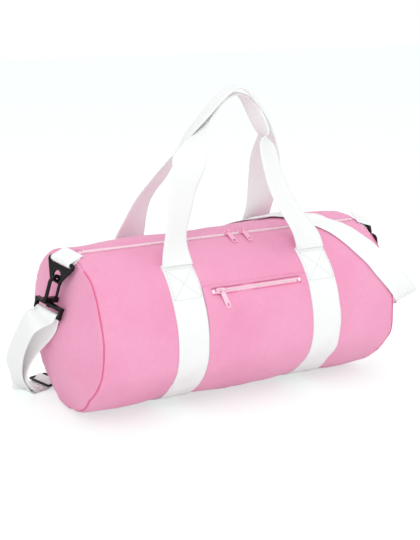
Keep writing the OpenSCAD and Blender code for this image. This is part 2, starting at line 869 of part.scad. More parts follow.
// Strap: stops in the air as shares of the tube's half length and radius, then the width's
// direction; stops on the skin as a share of the half length, an angle, and a heading
function air_point(s) =
    [s[0] * body_half, s[1] * body_r, s[2] * body_r, s[3], s[4], s[5]];
skin_lift = strap_t + 2 * seat_gap;
function skin_point(s) =
    let (
        f = s[1],
        r = body_r + skin_lift,
        n = [0, -sin(f), cos(f)],
        t = [cos(s[2]), -sin(s[2]) * cos(f), -sin(s[2]) * sin(f)],
        w = cross(t, n)
    ) [s[0] * body_half, r * n[1], axis_z + r * n[2], w[0], w[1], w[2]];
ply = strap_t + seat_gap;
floor_z = strap_t / 2;
outer_ply_shares = [
    [-1.185, 0.76, 0.03, -0.25, 0.97, 0], [-1.24, 0.69, 0.13, -0.26, 0.96, 0.02],
    [-1.275, 0.56, 0.29, -0.27, 0.96, 0.06], [-1.288, 0.38, 0.48, -0.28, 0.95, 0.1],
    [-1.275, 0.18, 0.68, -0.3, 0.94, 0.14], [-1.245, 0, 0.87, -0.32, 0.93, 0.17]
];
inner_ply_shares = [
    [-1.16, 0, 0.87, -0.32, 0.93, 0.17], [-1.175, 0.18, 0.68, -0.3, 0.94, 0.14],
    [-1.185, 0.38, 0.48, -0.28, 0.95, 0.1], [-1.185, 0.56, 0.29, -0.27, 0.96, 0.06],
    [-1.165, 0.7, 0.14, -0.26, 0.96, 0.02]
];
// Webbing next to a swivel's bar: shares of the hook's length from the bar, in the fitting's
// frame, then the width's direction there
function lead_point(side, s) =
    let (
        q = from_fitting(side, bar_local + hook_l * [s[0], s[1], s[2]]),
        w = turned(side, [s[3], s[4], s[5]])
    ) [q[0], q[1], q[2], w[0], w[1], w[2]];
outer_lead_shares = [[-0.38, 0.2, -0.79, 0, 1, 0], [-0.2, 0.04, -0.217, 0, 1, 0]];
inner_lead_shares = [[0.05, 0.03, -0.29, 0, 1, 0], [-0.058, 0.108, -0.67, 0, 1, 0]];
right_in_shares = [[-0.566, -0.197, -0.657, 0.24, 0.96, -0.13], [-0.11, -0.033, -0.285, 0.08, 1, -0.04]];
right_out_shares = [[-0.283, -0.033, -0.08, 0.05, 1, -0.03], [-0.705, -0.143, -0.447, 0.14, 0.97, -0.1]];
// Plies at the adjuster, in shares of its length along it and in plies above the floor
sewn_in_shares = [[-1.2, 1], [-0.87, 1], [-0.57, 1], [-0.3, 1.37]];
sewn_out_shares = [
    [-0.087, 2.08], [-0.217, 1.37], [-0.367, 0.474], [-0.533, 0.03], [-0.867, 0.05], [-1.2, 0.15]];
glide_in_shares = [[-0.5, 2], [-0.347, 2.47]];
inner_end_shares = [[-1.2, 2], [-0.56, 2]];
glide_out_shares = [[0.273, 1.58], [0.44, 0.474], [0.667, 0.05], [0.933, 0], [1.2, 0]];
function ply_point(s) = adjuster_point(s[0] * adjuster_l, floor_z + s[1] * ply);
left_loop_route = concat(
    [for (s = sewn_in_shares) ply_point(s)],
    [for (a = [160 : -40 : -80]) adjuster_point(centre_wrap * cos(a), glide_bar_z + centre_wrap * sin(a))],
    [for (s = sewn_out_shares) ply_point(s)],
    [for (s = outer_ply_shares) air_point(s)],
    [for (s = outer_lead_shares) lead_point(-1, s)],
    [for (a = [left_wrap_from : wrap_step : left_wrap_from + 180]) wrap_point(-1, a)],
    [for (s = inner_lead_shares) lead_point(-1, s)],
    [for (s = inner_ply_shares) air_point(s)],
    [for (s = inner_end_shares) ply_point(s)]
);
module strap_left_loop() {
    color(white)
        ribbon(smooth(left_loop_route, 3), strap_w, strap_t);
}
long_floor_shares = [
    [-0.72, 0.96, 0.015, 0.1, 0.99, 0.01], [-0.56, 1, 0.034, 0.05, 0.98, 0.12],
    [-0.42, 1.03, 0.12, -0.12, 0.86, 0.5], [-0.28, 1.055, 0.28, -0.35, 0.55, 0.76],
    [-0.17, 1.06, 0.46, -0.55, 0.28, 0.78], [-0.085, 1.045, 0.63, -0.72, 0.2, 0.66]
];
long_skin_shares = [
    [-0.015, -90, 62], [0.06, -75, 65], [0.135, -60, 65], [0.205, -47, 60], [0.26, -37, 56],
    [0.33, -27, 51], [0.415, -17, 44], [0.515, -8, 39], [0.61, 0, 42], [0.685, 8, 50],
    [0.74, 17, 57], [0.785, 25, 60], [0.85, 38, 62], [0.91, 49, 61], [0.96, 58, 58]
];
right_fold_shares = [
    [1.045, -0.965, 1.19, -0.88, -0.25, -0.4], [1.105, -0.94, 1.05, -0.92, -0.12, -0.36],
    [1.155, -0.84, 0.965, -0.95, 0, -0.3], [1.19, -0.69, 0.93, -0.9, 0.3, -0.3],
    [1.215, -0.52, 0.91, -0.72, 0.64, -0.27], [1.225, -0.36, 0.94, -0.32, 0.92, -0.15]
];
hump = centre_wrap + ply + sew_gap;
function hump_point(a) = adjuster_point(hump * cos(a), glide_bar_z + hump * sin(a));
long_route = concat(
    [for (s = glide_in_shares) ply_point(s)],
    [for (a = [145 : -30 : 25]) hump_point(a)],
    [for (s = glide_out_shares) ply_point(s)],
    [for (s = long_floor_shares) air_point(s)],
    [for (s = long_skin_shares) skin_point(s)],
    [for (s = right_fold_shares) air_point(s)],
    [for (s = right_in_shares) lead_point(1, s)],
    [for (a = [right_wrap_from : -wrap_step : right_wrap_from - 180]) wrap_point(1, a)],
    [for (s = right_out_shares) lead_point(1, s)]
);
module strap_long_run() {
    color(white)
        ribbon(smooth(long_route, 3), strap_w, strap_t);
}

body_panel();
left_end_panel();
right_end_panel();
left_seam_binding();
right_seam_binding();
main_zip_front_tape();
main_zip_back_tape();
main_zip_front_teeth();
main_zip_back_teeth();
main_zip_stops();
left_slider();
right_slider();
left_slider_puller();
right_slider_puller();
pocket_panel();
pocket_zip_upper_tape();
pocket_zip_lower_tape();
pocket_zip_upper_teeth();
pocket_zip_lower_teeth();
pocket_zip_stops();
pocket_slider();
pocket_slider_puller();
left_band();
right_band();
front_handle();
back_handle();
left_ring_tab();
right_ring_tab();
left_ring();
right_ring();
left_hook();
right_hook();
left_hook_gate();
right_hook_gate();
left_swivel_loop();
right_swivel_loop();
strap_left_loop();
strap_adjuster();
strap_long_run();
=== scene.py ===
"""Looks of the barrel bag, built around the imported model: one shared frame, in metres.

Lengths are written in millimetres and turned into metres when a mesh is made.
"""

import math

import bmesh
import bpy
import numpy as np
from mathutils import Matrix, Vector


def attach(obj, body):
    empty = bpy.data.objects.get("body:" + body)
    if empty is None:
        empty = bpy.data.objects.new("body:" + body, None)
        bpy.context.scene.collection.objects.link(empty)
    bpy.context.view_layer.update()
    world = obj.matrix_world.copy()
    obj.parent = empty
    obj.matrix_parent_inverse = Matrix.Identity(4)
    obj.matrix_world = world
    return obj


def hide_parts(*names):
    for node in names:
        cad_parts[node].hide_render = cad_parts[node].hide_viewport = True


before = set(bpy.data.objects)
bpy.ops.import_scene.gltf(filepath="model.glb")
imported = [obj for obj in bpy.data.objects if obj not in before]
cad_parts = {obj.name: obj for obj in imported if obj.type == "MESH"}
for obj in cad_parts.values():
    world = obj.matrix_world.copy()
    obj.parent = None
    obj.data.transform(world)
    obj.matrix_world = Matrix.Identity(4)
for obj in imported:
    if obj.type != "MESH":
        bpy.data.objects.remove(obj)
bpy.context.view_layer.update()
MM = 0.001

# Sizes shared with the CAD source
SEAT_GAP, SEW_GAP = 0.3, 0.05
BODY_R, BODY_HALF, SIT = 123.5, 224.0, 20.0
AXIS_Z = BODY_R - SIT
BASE_R, BASE_Z, BASE_BLEND = 137.0, 135.0, 8.0
END_BULGE, DOME_POWER = 24.0, 2.4
FABRIC_T = 1.2
TOP_TURN, ZIP_HALF, TAPE_W, TAPE_T = 12.0, 214.0, 13.0, 0.8
ZIP_SEAT = BODY_R - FABRIC_T - SEW_GAP
TOOTH_H, ROW_W, SLIT_HALF = 1.9, 2.5, 5.2
BAND_X, BAND_SHIFT, BAND_W, BAND_T, BAND_END = 103.0, 6.0, 45.0, 2.2, 37.5
LEFT_BAND, RIGHT_BAND = BAND_SHIFT - BAND_X, BAND_SHIFT + BAND_X
POCKET_TOP, POCKET_LOW, POCKET_ZIP = 53.5, 140.0, 57.8
POCKET_T, POCKET_CLOTH, POCKET_WINDOW = 3.1, 0.7, 5.0
POCKET_HALF = BAND_X - BAND_W / 2 - SEAT_GAP
POCKET_ZIP_HALF = POCKET_HALF - 12.0
POCKET_SEAT = BODY_R + POCKET_T - POCKET_CLOTH - SEW_GAP
HINGE_Y = (BODY_R + 1.5 * BAND_T + SEAT_GAP) * math.sin(math.radians(BAND_END))

# The scene's own sizes
STROKE = 3.7        # tooth to tooth: wider than in the CAD, so that the rows read in the picture
SEAM_GAP = 0.5      # from a seam to the cloth on each side of it
FLOOR_GAP = 0.25    # under the lowest cloth
FLOOR_SOFT = 3.0    # height over which the cloth flattens on the floor
RELIEF_TOP = 0.45   # the most that the body's fine relief stands out
RIBBON_CUTS = 10    # parts across a ribbon's face
RING = 2 * (RIBBON_CUTS + 1)
EDGE, EDGE_CROWD = 0.04, 1.35   # a ribbon's rounded part, and how its cuts crowd there
RELAX = 40          # rounds of smoothing where webbing bends freely


# ---------------------------------------------------------------- numbers and curves

def bump(t, middle, width):
    return np.exp(-((np.asarray(t, float) - middle) / width) ** 2)


def ease(t):
    t = np.clip(t, 0, 1)
    return t * t * (3 - 2 * t)


def wrap_angle(f):
    return (np.asarray(f, float) + 180) % 360 - 180


class Noise:
    """Smooth noise on a plane from a seeded lattice."""

    def __init__(self, seed, size=64):
        self.n = size
        self.v = np.random.RandomState(seed).uniform(-1, 1, (size, size))

    def __call__(self, a, b):
        a, b = np.asarray(a, float), np.asarray(b, float)
        i, j = np.floor(a).astype(int), np.floor(b).astype(int)
        u, w = ease(a - i), ease(b - j)
        n, v = self.n, self.v
        top = v[i % n, j % n] * (1 - u) + v[(i + 1) % n, j % n] * u
        low = v[i % n, (j + 1) % n] * (1 - u) + v[(i + 1) % n, (j + 1) % n] * u
        return top * (1 - w) + low * w


NOISE_A, NOISE_B, NOISE_C = Noise(3), Noise(11), Noise(27)


def smooth(stops, n):
    """A curve through the stops, with n steps from each to the next."""
    p = [np.asarray(q, float) for q in stops]
    out = []
    for i in range(len(p) - 1):
        a, b, c, d = p[max(i - 1, 0)], p[i], p[i + 1], p[min(i + 2, len(p) - 1)]
        for k in range(n):
            t = k / n
            out.append(0.5 * (2 * b + (c - a) * t + (2 * a - 5 * b + 4 * c - d) * t * t
                              + (3 * b - a - 3 * c + d) * t ** 3))
    out.append(p[-1])
    return np.array(out)


def relax(p, rounds=RELAX):
    p = p.copy()
    for _ in range(rounds):
        p[1:-1] = p[1:-1] * 0.5 + (p[:-2] + p[2:]) * 0.25
    return p


def directions(p):
    """Unit vectors along a line of points."""
    along = np.gradient(p, axis=0)
    return along / np.linalg.norm(along, axis=1)[:, None]


def face_spacing(cuts):
    """Places from -1 to 1 across a ribbon, closer together at its edges."""
    v = np.linspace(-1, 1, cuts + 1)
    return np.sign(v) * (1 - (1 - np.abs(v)) ** EDGE_CROWD)


# ---------------------------------------------------------------- the bag's skin

def section_r(f, r=BODY_R):
    """Radius of the section about the tube's axis, f degrees forward of the top."""
    a = np.radians(np.asarray(f, float))
    d = BASE_Z - AXIS_Z
    base = r + BASE_R - BODY_R
    low = d * np.cos(a) + np.sqrt(np.maximum(base * base - (d * np.sin(a)) ** 2, 0))
    h = np.clip(0.5 + 0.5 * (low - r) / BASE_BLEND, 0, 1)
    return low * (1 - h) + r * h - BASE_BLEND * h * (1 - h)


# Filled bays beside the bands: height, place along the bag, reach
BAYS = ((2.6, 6, 52), (2.4, -170, 34), (2.6, 176, 34))
# Sags and rises of the top: height, place and reach along the bag, angle and reach round it
TOP_FORMS = ((-4.5, -192, 40, -10, 26), (-1.8, -60, 60, -18, 26), (5.0, 150, 80, -22, 26),
             (1.6, 150, 90, 0, 30), (-3.6, 66, 15, 28, 9), (-1.6, 52, 20, 22, 8))


def band_gap(x):
    """Distance along the bag from the middle of the nearer band."""
    return np.minimum(np.abs(x - LEFT_BAND), np.abs(x - RIGHT_BAND))


def swell(x, f):
    """How far the filled fabric stands out of, or sinks into, the plain tube."""
    x, f = np.asarray(x, float), wrap_angle(f)
    side = ease((np.abs(f) - 28) / 40)
    low = ease((np.abs(f) - 95) / 35)
    bays = sum(h * bump(x, at, reach) for h, at, reach in BAYS) * side
    cinch = -1.6 * bump(band_gap(x), 0, 30) * side
    seam = -2.0 * np.exp(-(BODY_HALF - np.abs(x)) / 5.0)
    forms = sum(h * bump(x, at, reach) * bump(f, turn, arc) for h, at, reach, turn, arc in TOP_FORMS)
    ridge = 0.9 * bump(f, 3.0, 3.0) * ease((ZIP_HALF - np.abs(x)) / 12)
    front_low = -4.5 * ease((f - 100) / 22) * (f > 0)
    folds = 1.1 * NOISE_A(x / 34 + f / 40, f / 15) + 0.5 * NOISE_B(x / 15, f / 9 + x / 60)
    streak = NOISE_B(x / 24 + f / 13, f / 60 + x / 90) * (1 - 0.6 * low)
    # The zip holds the cloth flat on both sides of its slot
    soft = (folds + streak) * (1 - 0.75 * bump(f, TOP_TURN, 9)) * (0.55 + 0.45 * side)
    calm = 1 - 0.92 * bump(f, TOP_TURN, 7)
    return bays + cinch + seam + forms * calm + ridge + front_low + soft - 0.8 * low


def outward(f):
    """Direction away from the tube's axis, f degrees forward of the top."""
    a = np.radians(np.asarray(f, float))
    return np.stack([0 * a, -np.sin(a), np.cos(a)], -1)


def on_tube(x, f, r):
    """Points r away from the tube's axis."""
    p = outward(f) * np.asarray(r, float)[..., None]
    p[..., 0] += x
    p[..., 2] += AXIS_Z
    return p


def floor_level(x, lift):
    """Lowest height of the cloth, which leaves room for a band under itself."""
    room = (BAND_T + 0.5) * ease((BAND_W / 2 + 9 - band_gap(x)) / 7)
    return FLOOR_GAP + np.where(lift > 0.5, 0.0, room)


def skin(x, f, lift=0.0):
    """Points on the bag's surface, lift above it."""
    x, f = np.broadcast_arrays(np.asarray(x, float), np.asarray(f, float))
    lift = np.broadcast_to(np.asarray(lift, float), x.shape)
    p = on_tube(x, f, section_r(f) + swell(x, f) + lift)
    z, low = p[..., 2], floor_level(x, lift)
    soft = low + FLOOR_SOFT * np.exp((z - low - FLOOR_SOFT) / FLOOR_SOFT)
    p[..., 2] = np.where(z < low + FLOOR_SOFT, soft, z)
    return p


def skin_normal(x, f):
    e = 0.5
    du = skin(x + e, f) - skin(x - e, f)
    dv = skin(x, f + e) - skin(x, f - e)
    n = np.cross(dv, du)
    return n / np.linalg.norm(n, axis=-1, keepdims=True)


# How far the left seam bows along the bag, by angle
SEAM_F = np.array([-180, -60, 0, 28, 38, 55, 76, 90, 101, 113, 126, 150, 180], float)
LEFT_SEAM_X = 0.8 * np.array([0, 0, 0, 3.0, 5.5, 3.5, 2.5, 0.5, -1.5, -4.5, -7, -3, 0], float)


def left_seam(f):
    return -BODY_HALF + np.interp(wrap_angle(f), SEAM_F, LEFT_SEAM_X)


def right_seam(f):
    return BODY_HALF + 0 * np.asarray(f, float)


# ---------------------------------------------------------------- meshes

def new_object(name, verts, faces, uvs=None, smooth_faces=True):
    mesh = bpy.data.meshes.new(name)
    mesh.from_pydata((np.asarray(verts, float) * MM).tolist(), [], [list(map(int, q)) for q in faces])
    if uvs is not None:
        layer = mesh.uv_layers.new(name="cloth")
        loops = np.zeros(len(mesh.loops), np.int32)
        mesh.loops.foreach_get("vertex_index", loops)
        layer.data.foreach_set("uv", (np.asarray(uvs, float)[loops] * MM).astype(np.float32).ravel())
    mesh.polygons.foreach_set("use_smooth", [smooth_faces] * len(mesh.polygons))
    mesh.update()
    obj = bpy.data.objects.new(name, mesh)
    bpy.context.scene.collection.objects.link(obj)
    return obj


def grid_faces(nu, nv, keep=None, flip=False, loop_u=False, loop_v=False):
    """Faces of a grid of points, closed on itself where a loop is asked for."""
    faces = []
    for i in range(nu if loop_u else nu - 1):
        for j in range(nv if loop_v else nv - 1):
            if keep is not None and not keep[i, j]:
                continue
            a, b = i * nv + j, ((i + 1) % nu) * nv + j
            c, d = ((i + 1) % nu) * nv + (j + 1) % nv, i * nv + (j + 1) % nv
            faces.append((a, d, c, b) if flip else (a, b, c, d))
    return faces


def prune(verts, faces, uvs):
    """The same mesh without the points that no face uses."""
    used = np.unique(np.concatenate([np.asarray(q) for q in faces]))
    index = -np.ones(len(verts), int)
    index[used] = np.arange(len(used))
    return verts[used], [tuple(index[list(q)]) for q in faces], uvs[used]


def add_modifier(obj, kind, **settings):
    m = obj.modifiers.new(kind.lower(), kind)
    for k, v in settings.items():
        setattr(m, k, v)


def solid(obj, thickness, offset=-1.0):
    add_modifier(obj, "SOLIDIFY", thickness=thickness * MM, offset=offset, use_rim=True,
                 use_even_offset=False)


def round_edges(obj, width, angle):
    add_modifier(obj, "BEVEL", width=width * MM, segments=2, limit_method="ANGLE",
                 angle_limit=math.radians(angle))


def finish_piece(obj, body, material, nodes=()):
    obj.data.materials.clear()
    obj.data.materials.append(material)
    if nodes:
        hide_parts(*nodes)
    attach(obj, body)


def end_caps(n, ring, flip=False):
    """Faces that close both ends of a band made of n rings of points."""
    faces = []
    for base, first in ((0, True), ((n - 1) * ring, False)):
        for j in range(ring // 2 - 1):
            q = (base + j, base + j + 1, base + ring - 2 - j, base + ring - 1 - j)
            faces.append(q[::-1] if first == flip else q)
    return faces


def ribbon(name, centre, across, width, thick, square=0.0):
    """Webbing along a line: a closed band with round edges. across is the width's direction."""
    n = len(centre)
    along = directions(centre)
    length = np.concatenate([[0], np.cumsum(np.linalg.norm(np.diff(centre, axis=0), axis=1))])
    # Within square of its ends a ribbon keeps the direction that across gives it
    free = ease(np.minimum(length, length[-1] - length) / square)[:, None] if square else 1.0
    w = across - (across * along).sum(1)[:, None] * along * free
    w /= np.linalg.norm(w, axis=1)[:, None]
    up = np.cross(w, along)
    up /= np.linalg.norm(up, axis=1)[:, None]
    half = np.broadcast_to(width, (n,)) / 2
    v = face_spacing(RIBBON_CUTS)
    edge = np.sqrt(np.clip(1 - ((np.abs(v) - 1 + EDGE) / EDGE).clip(0, 1) ** 2, 0, 1)) * 0.72 + 0.28
    rows, uv = [], []
    for side in (1, -1):
        for j in range(RIBBON_CUTS + 1)[::side]:
            lift = np.broadcast_to(side * np.asarray(thick) / 2 * edge[j], (n,))
            rows.append(centre + w * (v[j] * half)[:, None] + up * lift[:, None])
            uv.append(np.stack([length, v[j] * half], 1))
    faces = grid_faces(n, RING, loop_v=True, flip=True) + end_caps(n, RING, flip=True)
    return new_object(name, np.stack(rows, 1).reshape(-1, 3), faces, np.stack(uv, 1).reshape(-1, 2))


def blocks(name, centres, xs, ys, zs, size):
    """Many small rounded blocks: frames xs, ys, zs with half sizes a, b and height h."""
    a, b, h = size
    corners = ((-1, -1), (1, -1), (1, 1), (-1, 1))
    layers = ((1.0, 1.0, 0.0), (1.0, 1.0, 0.62), (0.72, 0.86, 1.0))
    shape = np.array([[u * a * p, v * b * q, z * h] for p, q, z in layers for u, v in corners])
    verts = (centres[:, None] + shape[None, :, 0, None] * xs[:, None]
             + shape[None, :, 1, None] * ys[:, None] + shape[None, :, 2, None] * zs[:, None])
    one = [(3, 2, 1, 0)]
    for layer in (0, 4):
        one += [(layer + i, layer + (i + 1) % 4, layer + 4 + (i + 1) % 4, layer + 4 + i)
                for i in range(4)]
    one.append((8, 9, 10, 11))
    if (np.cross(xs, ys) * zs).sum() < 0:
        one = [q[::-1] for q in one]
    faces = [tuple(len(shape) * c + i for i in q) for c in range(len(centres)) for q in one]
    return new_object(name, verts.reshape(-1, 3), faces, smooth_faces=False)


def stitches(name, points, normals, radius=0.32, dash=2.6, gap=1.1, sink=0.1):
    """Dashes of thread along a polyline on a surface."""
    s = np.concatenate([[0], np.cumsum(np.linalg.norm(np.diff(points, axis=0), axis=1))])
    count = max(int(s[-1] / (dash + gap)), 1)
    step = s[-1] / count
    # Along a dash: where its rings are, how thick they are and how high they stand
    place = dash * np.array([0, 0.18, 0.5, 0.82, 1])
    thick = radius * np.array([0.45, 0.9, 1, 0.9, 0.45])
    rise = radius * np.array([0.0, 0.75, 1, 0.75, 0.0]) - sink
    sides = 6
    verts, faces = [], []
    for i in range(count):
        t = i * step + gap / 2 + place
        p = np.stack([np.interp(t, s, points[:, k]) for k in range(3)], 1)
        nrm = np.stack([np.interp(t, s, normals[:, k]) for k in range(3)], 1)
        nrm /= np.linalg.norm(nrm, axis=1)[:, None]
        d = p[-1] - p[0]
        b = np.cross(nrm, d / np.linalg.norm(d))
        base = len(verts)
        for k in range(len(place)):
            for g in np.radians(np.arange(0, 360, 360 / sides)):
                turned_to = b[k] * math.cos(g) + nrm[k] * math.sin(g)
                verts.append(p[k] + rise[k] * nrm[k] + turned_to * thick[k])
        last = base + (len(place) - 1) * sides
        for q in grid_faces(len(place), sides, loop_v=True, flip=True):
            faces.append(tuple(base + a for a in q))
        faces.append(tuple(base + a for a in range(sides - 1, -1, -1)))
        faces.append(tuple(last + a for a in range(sides)))
    return new_object(name, np.array(verts), faces)


# ---------------------------------------------------------------- materials

def srgb(r, g, b):
    def one(c):
        c /= 255
        return c / 12.92 if c <= 0.04045 else ((c + 0.055) / 1.055) ** 2.4
    return (one(r), one(g), one(b), 1.0)


class Nodes:
    """Short way to wire the nodes of a material or a world."""

    def __init__(self, owner, output="ShaderNodeOutputMaterial"):
        self.owner = owner
        owner.use_nodes = True
        self.tree = owner.node_tree
        self.tree.nodes.clear()
        self.out = self.add(output)

    def put(self, socket, value):
        if isinstance(value, bpy.types.NodeSocket):
            self.tree.links.new(value, socket)
        else:
            socket.default_value = value

    def add(self, kind, **inputs):
        """A node with its inputs set by name. What is no input is a setting of the node."""
        node = self.tree.nodes.new(kind)
        for k, v in inputs.items():
            key = k.replace("_", " ")
            if key in node.inputs:
                self.put(node.inputs[key], v)
            else:
                setattr(node, k, v)
        return node

    def math(self, op, a, b=0.0):
        node = self.add("ShaderNodeMath", operation=op)
        self.put(node.inputs[0], a)
        self.put(node.inputs[1], b)
        return node.outputs[0]

    def mix(self, share, a, b):
        node = self.add("ShaderNodeMix", data_type="RGBA")
        for i, v in ((0, share), (6, a), (7, b)):
            self.put(node.inputs[i], v)
        return node.outputs[2]

    def stain(self, tone, colour, value, share):
        """Colour laid over tone where value is high."""
        return self.mix(self.math("MULTIPLY", value, share), tone, colour)

    def spread(self, value, low=0.0, high=1.0, to_low=0.0, to_high=1.0):
        return self.add("ShaderNodeMapRange", Value=value, From_Min=low, From_Max=high,
                        To_Min=to_low, To_Max=to_high).outputs[0]

    def place(self):
        return self.add("ShaderNodeTexCoord").outputs["Object"]

    def cloth(self):
        """Places along and across the cloth, in metres."""
        uv = self.add("ShaderNodeUVMap", uv_map="cloth").outputs[0]
        return self.add("ShaderNodeSeparateXYZ", Vector=uv).outputs

    def noise(self, vector, scale, detail=3.0, rough=0.5):
        return self.add("ShaderNodeTexNoise", Vector=vector, Scale=scale, Detail=detail,
                        Roughness=rough).outputs[0]

    def ripple(self, value, pitch):
        """Sine of value with waves pitch millimetres apart."""
        return self.math("SINE", self.math("MULTIPLY", value, 2 * math.pi / (pitch * MM)))

    def bump(self, height, strength, distance, normal=None):
        node = self.add("ShaderNodeBump", Height=height, Strength=strength, Distance=distance * MM)
        if normal is not None:
            self.put(node.inputs["Normal"], normal)
        return node.outputs[0]

    def surface(self, colour, normal, **sockets):
        shader = self.add("ShaderNodeBsdfPrincipled", Base_Color=colour, Normal=normal, **sockets)
        self.put(self.out.inputs[0], shader.outputs[0])
        return self.owner


def cloth_material(name, main, light, deep, weave=0.9):
    """Plain woven cloth, with broad changes of tone, flecks and fine creases."""
    m = Nodes(bpy.data.materials.new(name))
    where = m.place()
    large, small = m.noise(where, 9.0), m.noise(where, 160.0, 4.0, 0.6)
    tone = m.mix(m.spread(large, 0.35, 0.65), main, light)
    tone = m.stain(tone, deep, m.spread(m.noise(where, 620.0, 1.0), 0.35, 0.7), 0.2)
    tone = m.stain(tone, deep, small, 0.1)
    along, across, _ = m.cloth()
    threads = m.math("MULTIPLY", m.ripple(along, weave), m.ripple(across, weave))
    n = m.bump(small, 0.25, 0.6)
    n = m.bump(threads, 0.35, 0.18, n)
    n = m.bump(m.noise(where, 38.0), 0.3, 1.6, n)
    return m.surface(tone, n, Roughness=m.spread(small, to_low=0.72, to_high=0.86),
                     Sheen_Weight=0.22, Sheen_Roughness=0.45, Specular_IOR_Level=0.28)


def webbing_material(name, main, shade, rib=1.5, twill=2.4):
    """Ribbed webbing with a zigzag twill, and painted shade in its grooves."""
    m = Nodes(bpy.data.materials.new(name))
    along, across, _ = m.cloth()
    zigzag = m.math("MULTIPLY", m.math("ABSOLUTE", m.ripple(across, 8 * rib)), 5.0)
    wave = m.math("ADD", m.math("MULTIPLY", along, 2 * math.pi / (twill * MM)), zigzag)
    height = m.math("ADD", m.math("MULTIPLY", m.ripple(across, rib), 0.5),
                    m.math("MULTIPLY", m.math("SINE", wave), 0.6))
    small = m.noise(m.place(), 240.0)
    # Painted shade: the colour darkens towards shade where the ribs and twill sink
    tone = m.stain(main, shade, m.spread(height, -1.0, 0.6, 1.0, 0.0), 0.45)
    tone = m.stain(tone, shade, small, 0.12)
    n = m.bump(height, 0.45, 0.16)
    n = m.bump(small, 0.15, 0.2, n)
    return m.surface(tone, n, Roughness=0.72, Sheen_Weight=0.12, Specular_IOR_Level=0.3)


def plastic_material(name, colour, light, rough, spec=0.5):
    """Moulded plastic or thread, with uneven gloss and a fine grain."""
    m = Nodes(bpy.data.materials.new(name))
    where = m.place()
    large = m.noise(where, 40.0, 2.0)
    n = m.bump(m.noise(where, 420.0), 0.12, 0.12)
    return m.surface(m.stain(colour, light, large, 0.5), n, Specular_IOR_Level=spec,
                     Roughness=m.spread(large, to_low=rough - 0.12, to_high=rough + 0.12))


PINK = cloth_material("pink_fabric", srgb(241, 160, 196), srgb(245, 172, 205), srgb(224, 124, 168))
# The binding's own pink, made deeper as painted shade for the gap at the end seams
BINDING_SHADE = cloth_material("pink_binding_shade", srgb(236, 150, 188), srgb(240, 160, 196),
                        srgb(214, 112, 156))
TAPE = cloth_material("pink_tape", srgb(240, 142, 182), srgb(242, 150, 188), srgb(222, 110, 152),
                      weave=1.1)
# Painted light: the white webbing's faint cyan tint cancels the pink light bounced onto it from the bag
WHITE = webbing_material("white_webbing", srgb(250, 252, 251), srgb(222, 225, 225))
STRAP = webbing_material("white_strap", srgb(251, 253, 252), srgb(226, 229, 229), rib=1.3, twill=1.7)
BLACK = plastic_material("black_plastic", srgb(9, 9, 10), srgb(14, 14, 15), 0.24, 0.22)
# Near-white teeth: painted highlight, the glint of the pink teeth painted into their colour
TEETH_HIGHLIGHT = plastic_material("zip_teeth", srgb(254, 232, 240), srgb(252, 220, 232), 0.4)
PULL = plastic_material("zip_pull", srgb(245, 176, 205), srgb(250, 198, 220), 0.3, 0.6)
PALE_PULL = plastic_material("pale_pull", srgb(250, 202, 222), srgb(252, 214, 230), 0.3, 0.6)
THREAD = plastic_material("white_thread", srgb(214, 214, 216), srgb(226, 226, 226), 0.8, 0.2)
# The seam thread's deep pink is painted shade: it stands in for the shade in the groove of the end
# seams
SEAM_SHADE_THREAD = plastic_material("seam_thread_shade", srgb(228, 104, 148), srgb(238, 132, 172), 0.8, 0.2)
PINK_THREAD = plastic_material("pink_thread", srgb(236, 140, 182), srgb(242, 158, 194), 0.8, 0.2)


# ---------------------------------------------------------------- body and end panels

def angle_lines(n, marks, least=0.45):
    """About n angles round the section with marks among them, no other closer than least."""
    marks = [m % 360 for m in marks]
    lines = np.unique(np.round(list(np.linspace(0, 360, n, endpoint=False)) + marks, 4))
    out, keep = [lines[0]], set(np.round(marks, 4))
    for v in lines[1:]:
        if v - out[-1] < least:
            if v not in keep:
                continue
            if out[-1] not in keep:
                out.pop()
        out.append(v)
    return np.array(out)


